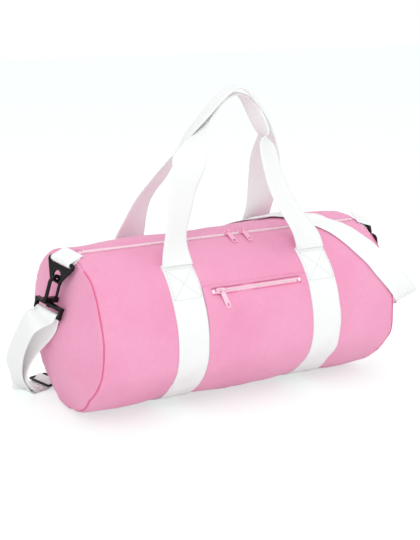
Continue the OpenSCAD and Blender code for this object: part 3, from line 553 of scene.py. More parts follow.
def build_body():
    slot = math.degrees(SLIT_HALF / BODY_R)
    f = angle_lines(450, [TOP_TURN + s * (slot + d) for s in (-1, 1) for d in (0, 0.7)])
    # Lines crowd towards both seams, where the cloth rolls in
    tip = np.array([0, 0.6, 1.2, 2, 3, 4.5, 6.5, 9, 12, 16]) / (2 * BODY_HALF)
    s = np.concatenate([tip[:-1], np.linspace(tip[-1], 1 - tip[-1], 160), (1 - tip[:-1])[::-1]])
    s = s[:, None]
    xs = (1 - s) * (left_seam(f)[None] + SEAM_GAP) + s * (right_seam(f)[None] - SEAM_GAP)
    fs = np.broadcast_to(f, xs.shape)
    d, turn, in_zip = wrap_angle(fs - TOP_TURN), wrap_angle(fs), np.abs(xs) < ZIP_HALF
    lip = 0.35 * np.exp(-((np.abs(d) - slot) / 0.8) ** 2) * in_zip
    crease = -1.0 * np.exp(-((d - slot - 1.2) / 0.6) ** 2) * in_zip
    to_left, to_right = np.abs(xs - left_seam(fs)), np.abs(xs - right_seam(fs))
    pucker = 0
    for gap, k in ((to_left, 0.5), (to_right, 7.5)):
        wrinkle = NOISE_C(turn / 1.9, k) + 0.8 * NOISE_A(turn / 4.6, k)
        pucker = pucker + 1.5 * np.exp(-gap / 10.0) * (1 - np.exp(-gap / 1.5)) * wrinkle
    roll = -2.2 * (np.exp(-(to_left / 1.5) ** 2) + np.exp(-(to_right / 1.5) ** 2))
    pull = 2.4 * bump(turn, 24, 9) * np.exp(-to_left / 16.0) * NOISE_B(fs / 3.1, 3.5)
    P = skin(xs, fs, np.minimum(lip + crease + pucker + roll + pull, RELIEF_TOP))
    mid_x = (xs[1:] + xs[:-1]) / 2
    after = np.roll(fs, -1, 1)
    mid_d = np.abs(wrap_angle((fs + after) / 2 - TOP_TURN + (after < fs) * 180))
    keep = ~((mid_d[:-1] < slot) & (np.abs(mid_x) < ZIP_HALF))
    faces = grid_faces(*xs.shape, keep, loop_v=True, flip=True)
    uvs = np.stack([xs, np.radians(fs) * BODY_R], -1).reshape(-1, 2)
    body = new_object("body_shell", *prune(P.reshape(-1, 3), faces, uvs))
    solid(body, FABRIC_T)
    finish_piece(body, "bag", PINK, ["body_panel"])


def build_end(side, seam_x, name, node):
    """A domed end panel. q goes from 1 at its seam to 0 at its middle."""
    f = np.linspace(0, 360, 200, endpoint=False)
    t = np.concatenate([np.linspace(0, 0.12, 9)[:-1], np.linspace(0.12, 1, 40)])[:, None]
    q = np.broadcast_to(np.cos(t * math.pi / 2), (len(t), len(f)))
    rise = np.sin(t * math.pi / 2)
    fs = np.broadcast_to(f, q.shape)
    seam = seam_x(fs)
    rim = skin(seam, fs, -1.3 * np.exp(-((1 - q) * 90) ** 2))
    centre_z = AXIS_Z + 4
    y = rim[..., 1] * q
    z = centre_z + (rim[..., 2] - centre_z) * q
    turn = np.radians(fs)
    bulge = END_BULGE * rise ** DOME_POWER + 1.6 * np.clip(1 - np.exp(-(1 - q) * 60), 0, 1)
    folds = NOISE_A(y / 31 + 7 * side, z / 31) * 1.5 + NOISE_B(y / 14, z / 17) * 0.6
    radial = 1.4 * np.sin(turn * 9 + 1.3 * side) * q ** 3 * bump(wrap_angle(fs), 15, 60)
    # The hook hangs against the panel
    dent = 3.3 * np.exp(-((y + 25) / 22) ** 2 - ((z - 172) / 28) ** 2)
    pucker = 0.6 * np.exp(-(1 - q) * 14) * np.sin(turn * 31 + 2 * np.sin(turn * 6))
    pucker = pucker * (1 - np.exp(-(1 - q) * 40))
    out = np.maximum(bulge + (folds + radial) * rise ** 0.8 - dent + pucker, 0)
    x = side * (BODY_HALF + SEAM_GAP + out) + (seam - side * BODY_HALF) * q ** 2
    P = np.stack([x, y, np.maximum(z, 0.3)], -1)
    uvs = P[..., 1:].reshape(-1, 2)
    faces = grid_faces(*q.shape, loop_v=True, flip=side > 0)
    obj = new_object(name, P.reshape(-1, 3), faces, uvs)
    join_middle(obj)
    solid(obj, FABRIC_T)
    finish_piece(obj, "bag", PINK, [node])


def join_middle(obj, distance=0.02):
    bm = bmesh.new()
    bm.from_mesh(obj.data)
    bmesh.ops.remove_doubles(bm, verts=bm.verts, dist=distance * MM)
    bm.to_mesh(obj.data)
    bm.free()


def build_binding(side, seam_x, name, node):
    """The bound seam allowance, a collar that stands in from the seam."""
    f = np.linspace(0, 360, 180, endpoint=False)
    x = seam_x(f) - side * 2.0
    outer = skin(x, f, -FABRIC_T - 0.3)
    outer[:, 2] = np.maximum(outer[:, 2], 2.6)
    mid = np.array([0, AXIS_Z])
    out = outer[:, 1:] - mid
    r = np.linalg.norm(out, axis=1)[:, None]
    depths = (0.0, 4.0, 9.0)
    P = np.stack([np.concatenate([x[:, None], mid + out * (r - d) / r], 1) for d in depths])
    uvs = np.stack([np.stack([np.radians(f) * BODY_R, d + 0 * f], -1) for d in depths])
    faces = grid_faces(len(depths), len(f), loop_v=True)
    obj = new_object(name, P.reshape(-1, 3), faces, uvs.reshape(-1, 2))
    solid(obj, 2.0, 0.0)
    # Deeper pink than the body: partly painted shade in the gap at the seam
    finish_piece(obj, "bag", BINDING_SHADE, [node])


def build_seam_line(side, seam_x, name):
    """A thread sunk in the seam where an end panel meets the body's front; its deep pink is painted
    shade for the seam's groove.
    """
    f = np.linspace(30, 170, 400)
    x = seam_x(f)
    c = skin(x, f, -1.0 + 0.25 * NOISE_A(f / 5.0, 2.5 * side))
    c[:, 2] = np.maximum(c[:, 2], 1.2)
    n = skin_normal(x, f)
    b = np.cross(directions(c), n)
    r = 0.75 + 0.25 * NOISE_B(f / 6.0, 4.5 * side)[:, None]
    turns = np.linspace(0, 2 * math.pi, 8, endpoint=False)
    rows = [c + (n * math.cos(a) + b * math.sin(a)) * r for a in turns]
    faces = grid_faces(len(f), len(turns), loop_v=True, flip=True)
    obj = new_object(name, np.stack(rows, 1).reshape(-1, 3), faces)
    finish_piece(obj, "bag", SEAM_SHADE_THREAD)


ENDS = ((-1, left_seam, "left"), (1, right_seam, "right"))
build_body()
for side, seam, end in ENDS:
    build_end(side, seam, f"{end}_end_shell", f"{end}_end_panel")
for side, seam, end in ENDS:
    build_binding(side, seam, f"{end}_binding", f"{end}_seam_binding")
for side, seam, end in ENDS:
    build_seam_line(side, seam, f"{end}_seam_line")


# ---------------------------------------------------------------- zips

TOOTH_HALF, TOOTH_GAP = 1.05, 0.1
ZIP_FREE = 8.0      # length without teeth, both ends together


def build_zip(half, seat, turn, middle, tapes, teeth, widths, tall=0.0):
    """Two tapes and two rows of teeth. turn is the angle of the zip's middle line."""
    x = middle + np.linspace(-half, half, 60)[:, None]
    for side, node, width in zip((-1, 1), tapes, widths):
        v = np.linspace(0.25, width, 5) + 0 * x
        P = on_tube(x, turn - side * np.degrees(v / seat), seat)
        uvs = np.stack([x + 0 * v, v], -1).reshape(-1, 2)
        faces = grid_faces(*v.shape, flip=side < 0)
        obj = new_object("cloth_" + node, P.reshape(-1, 3), faces, uvs)
        solid(obj, TAPE_T)
        finish_piece(obj, "bag", TAPE, [node])
    count = int((2 * half - ZIP_FREE) / STROKE)
    slant = math.atan2(0.5 * STROKE, ROW_W + 2 * TOOTH_GAP)
    for side, node in zip((-1, 1), teeth):
        x = middle + (np.arange(count) - count / 2 + 0.5 + 0.25 * side) * STROKE
        f = np.full(count, turn - side * math.degrees((TOOTH_GAP + ROW_W * 0.5) / seat))
        ahead = outward(f + 90)
        along = np.array([1.0, 0, 0]) + 0 * ahead
        obj = blocks("cloth_" + node, on_tube(x, f, seat),
                     along * math.cos(slant) - ahead * math.sin(slant),
                     along * math.sin(slant) + ahead * math.cos(slant), outward(f),
                     (TOOTH_HALF, ROW_W * 0.6, TOOTH_H + tall))
        finish_piece(obj, "bag", TEETH_HIGHLIGHT, [node])


build_zip(ZIP_HALF, ZIP_SEAT, TOP_TURN, 0.0, ("main_zip_front_tape", "main_zip_back_tape"),
          ("main_zip_front_teeth", "main_zip_back_teeth"), (TAPE_W, TAPE_W), 0.7)
build_zip(POCKET_ZIP_HALF, POCKET_SEAT, POCKET_ZIP, BAND_SHIFT,
          ("pocket_zip_lower_tape", "pocket_zip_upper_tape"),
          ("pocket_zip_lower_teeth", "pocket_zip_upper_teeth"), (9.0, 4.9))


def zip_tail():
    """The zip's last teeth at the left end, turned to the front."""
    t = np.linspace(0, 1, 40)
    x = -ZIP_HALF + 2.0 - 8.5 * np.sin(t * math.pi / 2)
    f = TOP_TURN + 0.5 + 8.0 * t ** 1.4
    obj = stitches("main_zip_tail", skin(x, f, 0.5), skin_normal(x, f), radius=0.95, dash=1.7, gap=0.8)
    finish_piece(obj, "bag", TEETH_HIGHLIGHT)


zip_tail()


# ---------------------------------------------------------------- front pocket

def pocket_line(name, x0, f0, x1, f1, lift):
    """A straight line of stitches from x0, f0 to x1, f1."""
    x, f = np.linspace(x0, x1, 80), np.linspace(f0, f1, 80)
    points = on_tube(x, f, BODY_R + lift)
    obj = stitches(name, points, outward(f), radius=0.28, dash=2.2, gap=0.9)
    finish_piece(obj, "bag", PINK_THREAD)


def build_pocket():
    """The pocket's cloth, with a window for its zip, and its stitches."""
    window, half = math.degrees(POCKET_WINDOW / BODY_R), POCKET_ZIP_HALF
    f = np.unique(np.round(np.concatenate([
        np.linspace(POCKET_TOP, POCKET_TOP + 0.8, 6),
        [POCKET_ZIP - window, POCKET_ZIP + window, POCKET_ZIP + window + 0.35],
        np.linspace(POCKET_ZIP + window + 1, POCKET_LOW - 2, 110),
        np.linspace(POCKET_LOW - 2, POCKET_LOW, 6)]), 4))
    x = BAND_SHIFT + np.unique(np.round(np.concatenate([
        np.linspace(-POCKET_HALF, POCKET_HALF, 110), [-half - 0.8, -half, half, half + 0.8]]), 4))
    X, F = np.meshgrid(x, f, indexing="ij")
    plateau = POCKET_T * (1 - 0.55 * ease((F - POCKET_ZIP - 6) / 30))
    roll = ease((F - POCKET_TOP + 0.25) / 0.9) * ease((POCKET_LOW - F + 0.25) / 1.2)
    sides = ease((POCKET_HALF - np.abs(X - BAND_SHIFT)) / 9)
    lift = 0.25 + (plateau - 0.25) * roll * (0.55 + 0.45 * sides)
    lift = lift + 0.3 * NOISE_C(X / 26, F / 9) * sides * ease((F - 66) / 10)
    # The zip's teeth hold the cloth beside them on an even curve
    flat = on_tube(X, F, BODY_R + POCKET_T - 0.25 * (1 - roll))
    k = (np.clip(1.15 * bump(F, POCKET_ZIP, 5.0), 0, 1) * roll * sides)[..., None]
    P = skin(X, F, lift) * (1 - k) + flat * k
    mid_x = (X[1:, 1:] + X[:-1, :-1]) / 2 - BAND_SHIFT
    mid_f = (F[1:, 1:] + F[:-1, :-1]) / 2
    keep = ~((np.abs(mid_f - POCKET_ZIP) < window) & (np.abs(mid_x) < half))
    faces = grid_faces(*X.shape, keep, flip=True)
    uvs = np.stack([X, np.radians(F) * BODY_R], -1).reshape(-1, 2)
    obj = new_object("pocket_cloth", *prune(P.reshape(-1, 3), faces, uvs))
    solid(obj, POCKET_CLOTH)
    finish_piece(obj, "bag", PINK, ["pocket_panel"])
    top, reach = POCKET_TOP + 1.0, POCKET_HALF - 2
    pocket_line("pocket_top_stitch", BAND_SHIFT - reach, top, BAND_SHIFT + reach, top, POCKET_T - 0.1)
    for side, name in ((1, "pocket_end_stitch"), (-1, "pocket_start_stitch")):
        at = BAND_SHIFT + side * (half + 2.2)
        pocket_line(name, at, POCKET_ZIP - 3.0, at, POCKET_ZIP + 3.0, POCKET_T)


build_pocket()


# ---------------------------------------------------------------- webbing bands

BAND_TUCK = 2.4     # degrees that a band's ends run under the handle
BAND_CUTS, BAND_SEAT, THREAD_UP = 12, 0.12, 0.15
CROSS_FROM, CROSS_TO, CROSS_EDGE = 2.0, 22.0, 3.0


def build_band(name, middle, node):
    """A band's way round the bag, with a stitched cross near each of its ends."""
    f = np.linspace(BAND_END - BAND_TUCK, 360 - BAND_END + BAND_TUCK, 264)
    v = face_spacing(BAND_CUTS)
    X = middle + v[None] * BAND_W / 2 + 0 * f[:, None]
    F = np.broadcast_to(f[:, None], X.shape)
    rim = 0.9 * (1 - ((np.abs(v) - 1 + EDGE).clip(0, 1) / EDGE) ** 2)
    outer = skin(X, F, BAND_T * (0.35 + 0.65 * np.clip(rim, 0, 1))[None] + BAND_SEAT)
    inner = skin(X, F, BAND_SEAT)
    P = np.concatenate([outer, inner[:, ::-1]], 1)
    uv = np.stack([np.radians(F) * BODY_R, X - middle], -1)
    uvs = np.concatenate([uv, uv[:, ::-1]], 1).reshape(-1, 2)
    faces = grid_faces(*P.shape[:2], loop_v=True) + end_caps(*P.shape[:2])
    obj = new_object(name, P.reshape(-1, 3), faces, uvs)
    finish_piece(obj, "bag", WHITE, [node])
    x0, x1 = middle - BAND_W / 2 + CROSS_EDGE, middle + BAND_W / 2 - CROSS_EDGE
    f0, f1 = BAND_END + CROSS_FROM, BAND_END + CROSS_TO
    a, b, c, d = (x0, f0), (x1, f0), (x1, f1), (x0, f1)
    for side, sign in (("front", 1), ("back", -1)):
        for i, (p, q) in enumerate(((a, b), (b, c), (c, d), (d, a), (a, c), (d, b))):
            x, f = np.linspace(p[0], q[0], 50), sign * np.linspace(p[1], q[1], 50)
            points = skin(x, f, BAND_T + THREAD_UP)
            obj = stitches(f"{name}_{side}_stitch_{i}", points, outward(f))
            finish_piece(obj, "bag", THREAD)


build_band("left_band_webbing", LEFT_BAND, "left_band")
build_band("right_band_webbing", RIGHT_BAND, "right_band")


# ---------------------------------------------------------------- handles

# Stops: x, height above STOP_Z, share of the way from the hinge line to CROWN_Y, quarter turns
FRONT_STOPS = [
    (-97, 0, 0, 0), (-98, 12, 0.03, -0.12), (-95.5, 40.8, 0.1, -0.33), (-84.6, 75.8, 0.21, -0.2),
    (-69.5, 112.4, 0.36, -0.23), (-52.3, 141.1, 0.6, 0.47), (-20.8, 167.9, 0.93, 1.18),
    (9.5, 194.5, 1.05, 1.41), (33.5, 212.5, 1.07, 0.89), (49.9, 202.3, 1.05, 1.06),
    (61.8, 179.6, 0.95, 1.25), (71, 155.5, 0.84, 1.11), (73.2, 145.9, 0.8, 0.36),
    (72, 107.3, 0.55, 0.33), (76.7, 71.6, 0.28, 0.23), (92.5, 39.7, 0.1, 0.27),
    (104, 16, 0.02, 0.1), (109, 0, 0, 0)]
BACK_STOPS = [
    (-97, 0, 0, 0), (-94, 12, 0.04, 0.06), (-88.1, 37.3, 0.12, 0.27), (-77.3, 68.5, 0.2, 0.38),
    (-55.7, 101.6, 0.42, 0.36), (-38.3, 145.9, 0.66, 0.75), (-14.5, 185.5, 1, 0.88),
    (8, 212.4, 1.1, 1.04), (32, 222.1, 1.12, 1.2), (52.8, 207.5, 1.1, 1.38),
    (78.6, 182.9, 1.02, 1.34), (95.5, 151.6, 0.8, 0.96), (102.7, 116, 0.55, 0.57),
    (112.5, 76.5, 0.29, 0.27), (115, 39.7, 0.12, 0), (111, 12, 0.03, 0.01), (109, 0, 0, 0)]
STOP_Z, ROOT_LIFT = 202.6, 1.7
CROWN_X, CROWN_Y = 26.0, -2.0
HANDLE_STEPS = 12
GRIP_NARROW, GRIP_THICK = 17.0, 1.2
GRIP_FROM, GRIP_EASE, ROOT_SQUARE = 4.6, 2.0, 14.0


def build_handle(node, stops, side, grip_out):
    """One carry handle, side -1 in front. Its folded grip opens between the stops in grip_out."""
    rows = []
    for x, z, k, t in stops:
        turn = math.radians(90 * t)
        sign = 1 if x < CROWN_X else -1
        y = side * HINGE_Y * (1 - k) + CROWN_Y * k
        z = STOP_Z + z + ROOT_LIFT * (1 - min(k * 3, 1))
        rows.append([x, y, z, sign * math.cos(turn), side * math.sin(turn), 0])
    c = relax(smooth(rows, HANDLE_STEPS))
    u = np.arange(len(c)) / HANDLE_STEPS
    start, end = grip_out
    grip = ease((u - GRIP_FROM) / GRIP_EASE) * (1 - ease((u - start) / (end - start)))
    obj = ribbon(node + "_webbing", c[:, :3], c[:, 3:], BAND_W - GRIP_NARROW * grip,
                 BAND_T + GRIP_THICK * grip, square=ROOT_SQUARE)
    finish_piece(obj, node, WHITE, [node])


build_handle("front_handle", FRONT_STOPS, -1, (10.6, 12.2))
build_handle("back_handle", BACK_STOPS, 1, (10.4, 12.4))


# ---------------------------------------------------------------- ring tabs

ROD_R = 2.6
TAB_SKEW, TAB_W, TAB_T = 20.0, 35.0, 1.5
RING_OUT, RING_DROP, RING_L, RING_LEAN, HOOK_LEAN = 15.0, 6.0, 27.0, 22.0, 15.0
HOOK_L, BEAM_H, SLOT_H = 30.0, 4.5, 6.6
BAR_Z = -HOOK_L - BEAM_H - SLOT_H - ROD_R
# The tab's plies: how far they run into the bag, in lengths of the tab, their gap and opening
TAB_TOP, TAB_LOW, TAB_GAP, TAB_OPEN = 1.28, 1.02, 0.15, 1.3
# The ring's web: its top edge, half its widths at the top and the nose, its thickness and eye
WEB_TOP, WEB_HALF_TOP, WEB_HALF_NOSE, WEB_T = -5.4, 23.6, 7.08, 3.0
EYE_Z, EYE_SIZE = -19.0, (6.3, 6.0)


def spin(v, axis, deg):
    return np.array(Matrix.Rotation(math.radians(deg), 3, axis) @ Vector(v))


def from_fitting(side, v):
    """A point of an end fitting, whose own frame lies where its tab leaves the bag."""
    p = spin(spin(v, "Z", TAB_SKEW) + np.array([-BODY_HALF, 0, BODY_R]), "X", TOP_TURN)
    return np.array([-side * p[0], p[1], p[2] + AXIS_Z])


def turned(side, v):
    """A direction of an end fitting."""
    p = spin(spin(v, "Z", TAB_SKEW), "X", TOP_TURN)
    return np.array([-side * p[0], p[1], p[2]])


def build_tab(side, name, node):
    """Webbing from the bag round the ring's bar and back."""
    slope, reach = math.atan2(RING_DROP, RING_OUT), math.hypot(RING_OUT, RING_DROP)
    along = np.array([math.cos(slope), 0, math.sin(slope)])
    up = np.array([-along[2], 0, along[0]])
    bar = np.array([-RING_OUT, 0, -RING_DROP])
    r = ROD_R + 0.4 + TAB_T / 2

    def ply(t, end, over):
        """On the upper or lower ply, t of the way from the bar to the bag."""
        return bar + along * reach * t + over * up * (TAB_T / 2 + TAB_GAP + TAB_OPEN * (end - t))

    stops = [ply(t, TAB_TOP, 1) for t in (TAB_TOP, 1.1, 0.9, 0.6)]
    stops += [bar + r * (along * math.cos(a) + up * math.sin(a))
              for a in np.radians(range(110, 251, 20))]
    stops += [ply(t, TAB_LOW, -1) for t in (0.6, 0.9, TAB_LOW)]
    across = turned(side, (0, 1, 0))
    c = smooth([np.concatenate([from_fitting(side, q), across]) for q in stops], 5)
    obj = ribbon(name, c[:, :3], c[:, 3:], TAB_W, TAB_T)
    finish_piece(obj, "bag", WHITE, [node])


build_tab(-1, "left_tab_webbing", "left_ring_tab")
build_tab(1, "right_tab_webbing", "right_ring_tab")


def build_plate(side, name, body_name):
    """Web of the moulded ring, with an eye for the hook."""
    mid = np.array([0.0, EYE_Z])
    slope = (WEB_HALF_TOP - WEB_HALF_NOSE) / RING_L
    outer, inner = [], []
    for a in np.radians(np.arange(0, 360, 7.5)):
        d = np.array([math.cos(a), math.sin(a)])
        # The nearest of the web's four edges in this direction
        edges = [(d[1], WEB_TOP - EYE_Z), (-d[1], EYE_Z + RING_L)]
        edges += [(s * d[0] - slope * d[1], WEB_HALF_TOP + slope * EYE_Z) for s in (1, -1)]
        outer.append(mid + d * min(gap / facing for facing, gap in edges if facing > 1e-6))
        inner.append(mid + d * EYE_SIZE)
    rows = []
    for x, loops in ((WEB_T / 2, (outer, inner)), (-WEB_T / 2, (inner, outer))):
        for u, v in loops[0] + loops[1]:
            p = spin((x, u, v), "Y", RING_LEAN) + np.array([-RING_OUT, 0, -RING_DROP])
            rows.append(from_fitting(side, p))
    faces = grid_faces(4, len(outer), loop_u=True, loop_v=True, flip=side < 0)
    obj = new_object(name, np.array(rows), faces)
    round_edges(obj, 0.5, 40)
    finish_piece(obj, body_name, BLACK)


build_plate(-1, "left_ring_web", "left_ring")
build_plate(1, "right_ring_web", "right_ring")


# ---------------------------------------------------------------- shoulder strap

STRAP_W, STRAP_T = 39.0, 1.6
ADJUSTER = (-216.0, 108.0)
ADJUSTER_L, HEADING, GLIDE_Z, BAR_HALF = 30.0, 15.0, 7.6, 1.5
WRAP_R = ROD_R + SEAT_GAP + STRAP_T / 2
CENTRE_WRAP = BAR_HALF + SEAT_GAP + SEW_GAP + STRAP_T / 2
PLY = STRAP_T + SEAT_GAP
STRAP_STEPS = 8


def bar_point():
    """Middle of the swivel loop's bar, which the strap goes round."""
    lean, hook = math.radians(RING_LEAN), math.radians(HOOK_LEAN)
    return np.array([-RING_OUT - RING_L * math.sin(lean) + BAR_Z * math.sin(hook), 0,
                     -RING_DROP - RING_L * math.cos(lean) + BAR_Z * math.cos(hook)])


# A stop is a point of the strap's middle line and the direction of its width
def wrap_stop(side, deg):
    a = math.radians(deg)
    p = bar_point() + WRAP_R * np.array([-math.cos(a), 0, math.sin(a)])
    return np.concatenate([from_fitting(side, p), turned(side, (0, 1, 0))])


def adjuster_stop(x, z):
    p, w = spin((x, 0, z), "Z", HEADING), spin((0, 1, 0), "Z", HEADING)
    return np.array([p[0] + ADJUSTER[0], p[1] + ADJUSTER[1], p[2], *w])


def air_stop(s):
    """Place in parts of the bag's half length and radius, then the width's direction."""
    return np.array([s[0] * BODY_HALF, s[1] * BODY_R, s[2] * BODY_R, *s[3:]])


def ply_stop(s):
    return adjuster_stop(s[0] * ADJUSTER_L, STRAP_T / 2 + s[1] * PLY)


def skin_stop(s):
    """On the bag: part of the half length, angle, and heading across the bag."""
    f, h = math.radians(s[1]), math.radians(s[2])
    r = BODY_R + STRAP_T / 2 + 0.8 + 0.8 * max(float(swell(s[0] * BODY_HALF, s[1])), 0.0)
    n = np.array([0, -math.sin(f), math.cos(f)])
    t = np.array([math.cos(h), -math.sin(h) * math.cos(f), -math.sin(h) * math.sin(f)])
    return np.array([s[0] * BODY_HALF, r * n[1], AXIS_Z + r * n[2], *np.cross(t, n)])


def lead_stop(side, s):
    p = bar_point() + HOOK_L * np.array(s[:3])
    return np.concatenate([from_fitting(side, p), turned(side, s[3:])])


OUTER_LEAD = [(-.718, .221, -.172, .304, 1.157, .392), (-.2, .04, -.217, 0, 1, 0)]
INNER_LEAD = [(.05, .03, -.29, 0, 1, 0), (-.015, .261, -.885, -.484, 1.723, .903)]
RIGHT_IN = [(-.566, -.197, -.657, .24, .96, -.13), (-.11, -.033, -.285, .08, 1, -.04)]
RIGHT_OUT = [(-.283, -.033, -.08, .05, 1, -.03), (-.705, -.143, -.447, .14, .97, -.1)]
OUTER_PLY = [
    (-1.128, 0.794, 0.076, 0.06, 0.97, -0.002), (-1.186, 0.731, 0.201, 0.025, 0.96, -0.114),
    (-1.237, 0.55, 0.378, 0, 0.96, -0.21), (-1.265, 0.314, 0.601, 0.001, 0.95, -0.282),
    (-1.27, 0.141, 0.813, 0.01, 0.94, -0.339), (-1.269, -0.078, 1.017, 0.014, 0.93, -0.393)]
INNER_PLY = [
    (-1.199, 0.112, 0.856, -0.261, 0.93, 0.322), (-1.21, 0.338, 0.638, -0.222, 0.94, 0.168),
    (-1.222, 0.48, 0.435, -0.193, 0.95, 0.009), (-1.205, 0.554, 0.268, -0.182, 0.96, -0.166),
    (-1.124, 0.77, 0.034, -0.187, 0.96, -0.362)]
SEWN_IN = [(-1.2, 1), (-.87, 1), (-.57, 1), (-.3, 1.37)]
SEWN_OUT = [(-.087, 2.08), (-.217, 1.37), (-.367, .474), (-.533, .03), (-.867, .05), (-1.2, .15)]
GLIDE_IN = [(-.5, 2), (-.347, 2.47)]
GLIDE_OUT = [(.273, 1.58), (.44, .474), (.667, .05), (.933, 0), (1.2, 0)]
INNER_END = [(-1.2, 2), (-.56, 2)]
LONG_FLOOR = [
    (-.72, .96, .015, .1, .99, .01), (-.56, 1, .034, .05, .98, .12), (-.42, 1.03, .12, -.12, .86, .5),
    (-.28, 1.055, .28, -.35, .55, .76), (-.17, 1.06, .46, -.55, .28, .78),
    (-.085, 1.045, .63, -.72, .2, .66)]
LONG_SKIN = [
    (-.015, -90, 62), (.06, -75, 65), (.135, -60, 65), (.205, -47, 60), (.26, -37, 56),
    (.33, -27, 51), (.415, -17, 44), (.515, -8, 39), (.61, 0, 42), (.685, 8, 50), (.74, 17, 57),
    (.785, 25, 60), (.85, 38, 62), (.91, 49, 61), (.96, 58, 58)]
RIGHT_FOLD = [
    (1.045, -.965, 1.19, -.88, -.25, -.4), (1.105, -.94, 1.05, -.92, -.12, -.36),
    (1.155, -.84, .965, -.95, 0, -.3), (1.19, -.69, .93, -.9, .3, -.3),
    (1.215, -.52, .91, -.72, .64, -.27), (1.225, -.36, .94, -.32, .92, -.15)]


def around(r, degs):
    """Stops round the adjuster's middle bar."""
    return [adjuster_stop(r * math.cos(a), GLIDE_Z + r * math.sin(a)) for a in np.radians(degs)]


def push_out(obj, room=0.7):
    """Pairs of points inside the bag's skin move out to lie on it, thickness kept."""
    v = np.array([p.co[:] for p in obj.data.vertices]).reshape(-1, RING, 3) / MM
    mid = (v + v[:, ::-1]) / 2
    x, y, z = mid[..., 0], mid[..., 1], mid[..., 2] - AXIS_Z
    f, rho = np.degrees(np.arctan2(-y, z)), np.maximum(np.hypot(y, z), 1)
    under = np.where(band_gap(x) < BAND_W / 2 + 2, BAND_T, RELIEF_TOP)
    need = section_r(f) + swell(np.clip(x, -BODY_HALF, BODY_HALF), f) + under + room + STRAP_T / 2
    # Nothing moves beyond the bag's ends or on the floor
    near = ease((BODY_HALF + 14 - np.abs(x)) / 12) * ease((rho - 70) / 25)
    push = np.where(mid[..., 2] > 5, np.maximum(need - rho, 0) * near, 0)
    v[..., 1] += push * y / rho
    v[..., 2] = np.maximum(v[..., 2] + push * z / rho, 0.1)
    obj.data.vertices.foreach_set("co", (v * MM).astype(np.float32).ravel())
    obj.data.update()


def build_strap(name, node, parts, calm):
    """One length of the strap through the stops of its parts.

    Its line is eased from place to place in calm. A place is a part's number and a count of stops
    from that part's first one.
    """
    first = np.cumsum([0] + [len(p) for p in parts])
    c = smooth([stop for part in parts for stop in part], STRAP_STEPS)
    for (p, i), (q, j) in calm:
        run = slice((first[p] + i) * STRAP_STEPS, (first[q] + j) * STRAP_STEPS + 1)
        c[run] = relax(c[run])
    obj = ribbon(name, c[:, :3], c[:, 3:], STRAP_W, STRAP_T)
    push_out(obj)
    finish_piece(obj, "bag", STRAP, [node])


build_strap("left_loop_strap", "strap_left_loop", [
    [ply_stop(s) for s in SEWN_IN],
    around(CENTRE_WRAP, range(160, -81, -40)),
    [ply_stop(s) for s in SEWN_OUT],
    [air_stop(s) for s in OUTER_PLY],
    [lead_stop(-1, s) for s in OUTER_LEAD],
    [wrap_stop(-1, a) for a in range(17, 198, 36)],
    [lead_stop(-1, s) for s in INNER_LEAD],
    [air_stop(s) for s in INNER_PLY],
    [ply_stop(s) for s in INNER_END],
], [((3, -1), (5, 0)), ((6, -1), (8, 0))])
build_strap("long_strap", "strap_long_run", [
    [ply_stop(s) for s in GLIDE_IN],
    around(CENTRE_WRAP + PLY + SEW_GAP, range(145, 24, -30)),
    [ply_stop(s) for s in GLIDE_OUT],
    [air_stop(s) for s in LONG_FLOOR],
    [skin_stop(s) for s in LONG_SKIN],
    [air_stop(s) for s in RIGHT_FOLD],
    [lead_stop(1, s) for s in RIGHT_IN],
    [wrap_stop(1, a) for a in range(229, 48, -36)],
    [lead_stop(1, s) for s in RIGHT_OUT],
], [((5, -4), (7, -1))])


# ---------------------------------------------------------------- CAD pieces that stay

KEPT = {
    BLACK: ("black_plastic", [
        "left_ring", "right_ring", "left_hook", "right_hook", "left_hook_gate", "right_hook_gate",
        "left_swivel_loop", "right_swivel_loop", "strap_adjuster"]),
    PULL: ("zip_pull", ["left_slider", "right_slider", "left_slider_puller", "right_slider_puller"]),
    PALE_PULL: ("zip_pull", ["pocket_slider", "pocket_slider_puller"]),
    # The zip stops share the teeth's painted highlight colour
    TEETH_HIGHLIGHT: ("zip_teeth", ["main_zip_stops", "pocket_zip_stops"]),
}
SHARP = ("left_ring", "right_ring", "strap_adjuster")
for material, (slot, names) in KEPT.items():
    for n in names:
        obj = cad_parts[n]
        obj.data.materials.clear()
        obj.data.materials.append(material)
        add_modifier(obj, "WELD", merge_threshold=0.02 * MM)
        if n not in SHARP:
            round_edges(obj, 0.4, 50)


# ---------------------------------------------------------------- camera, light and floor

# The photograph's camera: focal length, height and shift in its pixels, place in metres
FOCAL_PX, PHOTO_H, SHIFT_PX = 1134, 540, (-4.3, 29.6)
SENSOR = 36.0
AIM, AZIMUTH, ELEVATION, DISTANCE = (0, 0, 0.125), -28.8, 16.2, 1.610

# Name, place, aim, size and power
LIGHTS = (("key", (-0.9, -1.4, 2.0), (0, 0, 0.12), 1.4, 6.5),
          ("top", (0.3, 0.2, 2.2), (0, 0, 0.1), 1.6, 7),
          ("front", (-0.3, -2.6, 0.02), (0, 0, 0.1), 1.8, 15),
          ("left", (-2.4, -0.5, 0.4), (0, 0, 0.1), 1.6, 5.5),
          ("right", (1.9, -1.9, 0.05), (0.1, 0, 0.1), 1.4, 6))

FLOOR_HALF = 6000.0
FLOOR_LIT, FLOOR_SEEN, FLOOR_GLOW = (0.92, 0.94, 0.93, 1), (0.46, 0.54, 0.51, 1), 0.6
WORLD_LIGHT, WORLD_SEEN = 0.8, 1.0
PLAIN_WHITE = (1, 1, 1, 1)


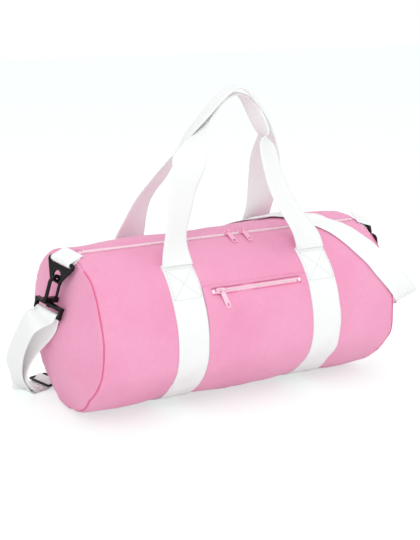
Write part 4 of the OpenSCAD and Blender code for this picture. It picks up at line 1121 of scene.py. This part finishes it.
def build_camera():
    data = bpy.data.cameras.new("camera")
    data.sensor_width = SENSOR
    data.lens = FOCAL_PX / PHOTO_H * SENSOR
    data.shift_x, data.shift_y = SHIFT_PX[0] / PHOTO_H, SHIFT_PX[1] / PHOTO_H
    data.clip_start, data.clip_end = 0.05, 30
    cam = bpy.data.objects.new("camera", data)
    bpy.context.scene.collection.objects.link(cam)
    az, el = math.radians(AZIMUTH), math.radians(ELEVATION)
    back = Vector((math.sin(az) * math.cos(el), -math.cos(az) * math.cos(el), math.sin(el)))
    cam.location = Vector(AIM) + back * DISTANCE
    cam.rotation_euler = (-back).to_track_quat("-Z", "Y").to_euler()
    bpy.context.scene.camera = cam


def area_light(name, place, aim, size, power):
    data = bpy.data.lights.new(name, "AREA")
    data.shape, data.size, data.energy = "SQUARE", size, power
    lamp = bpy.data.objects.new(name, data)
    bpy.context.scene.collection.objects.link(lamp)
    lamp.location = place
    lamp.rotation_euler = (Vector(aim) - Vector(place)).to_track_quat("-Z", "Y").to_euler()


def seen_directly(m):
    """1 for what the camera sees, also in a reflection, and 0 for the light on the bag."""
    path = m.add("ShaderNodeLightPath")
    a = m.math("MAXIMUM", path.outputs["Is Camera Ray"], path.outputs["Is Glossy Ray"])
    return m.math("MAXIMUM", a, path.outputs["Is Transmission Ray"])


def build_stage():
    """A floor and a world that look white and light the bag evenly, and the lamps."""
    m = Nodes(bpy.data.materials.new("floor_white"))
    seen = seen_directly(m)
    diffuse = m.add("ShaderNodeBsdfDiffuse", Color=m.mix(seen, FLOOR_LIT, FLOOR_SEEN))
    glow = m.add("ShaderNodeEmission", Color=PLAIN_WHITE, Strength=m.math("MULTIPLY", seen, FLOOR_GLOW))
    total = m.add("ShaderNodeAddShader")
    m.put(total.inputs[0], diffuse.outputs[0])
    m.put(total.inputs[1], glow.outputs[0])
    m.put(m.out.inputs[0], total.outputs[0])
    h = FLOOR_HALF
    floor = new_object("floor", [(-h, -h, 0), (h, -h, 0), (h, h, 0), (-h, h, 0)], [(0, 1, 2, 3)])
    floor.data.materials.append(m.owner)
    world = bpy.data.worlds.new("studio")
    bpy.context.scene.world = world
    m = Nodes(world, "ShaderNodeOutputWorld")
    strength = m.spread(seen_directly(m), to_low=WORLD_LIGHT, to_high=WORLD_SEEN)
    sky = m.add("ShaderNodeBackground", Color=PLAIN_WHITE, Strength=strength)
    m.put(m.out.inputs[0], sky.outputs[0])
    for light in LIGHTS:
        area_light(*light)


build_camera()
build_stage()
scene = bpy.context.scene
scene.view_settings.view_transform = "Standard"
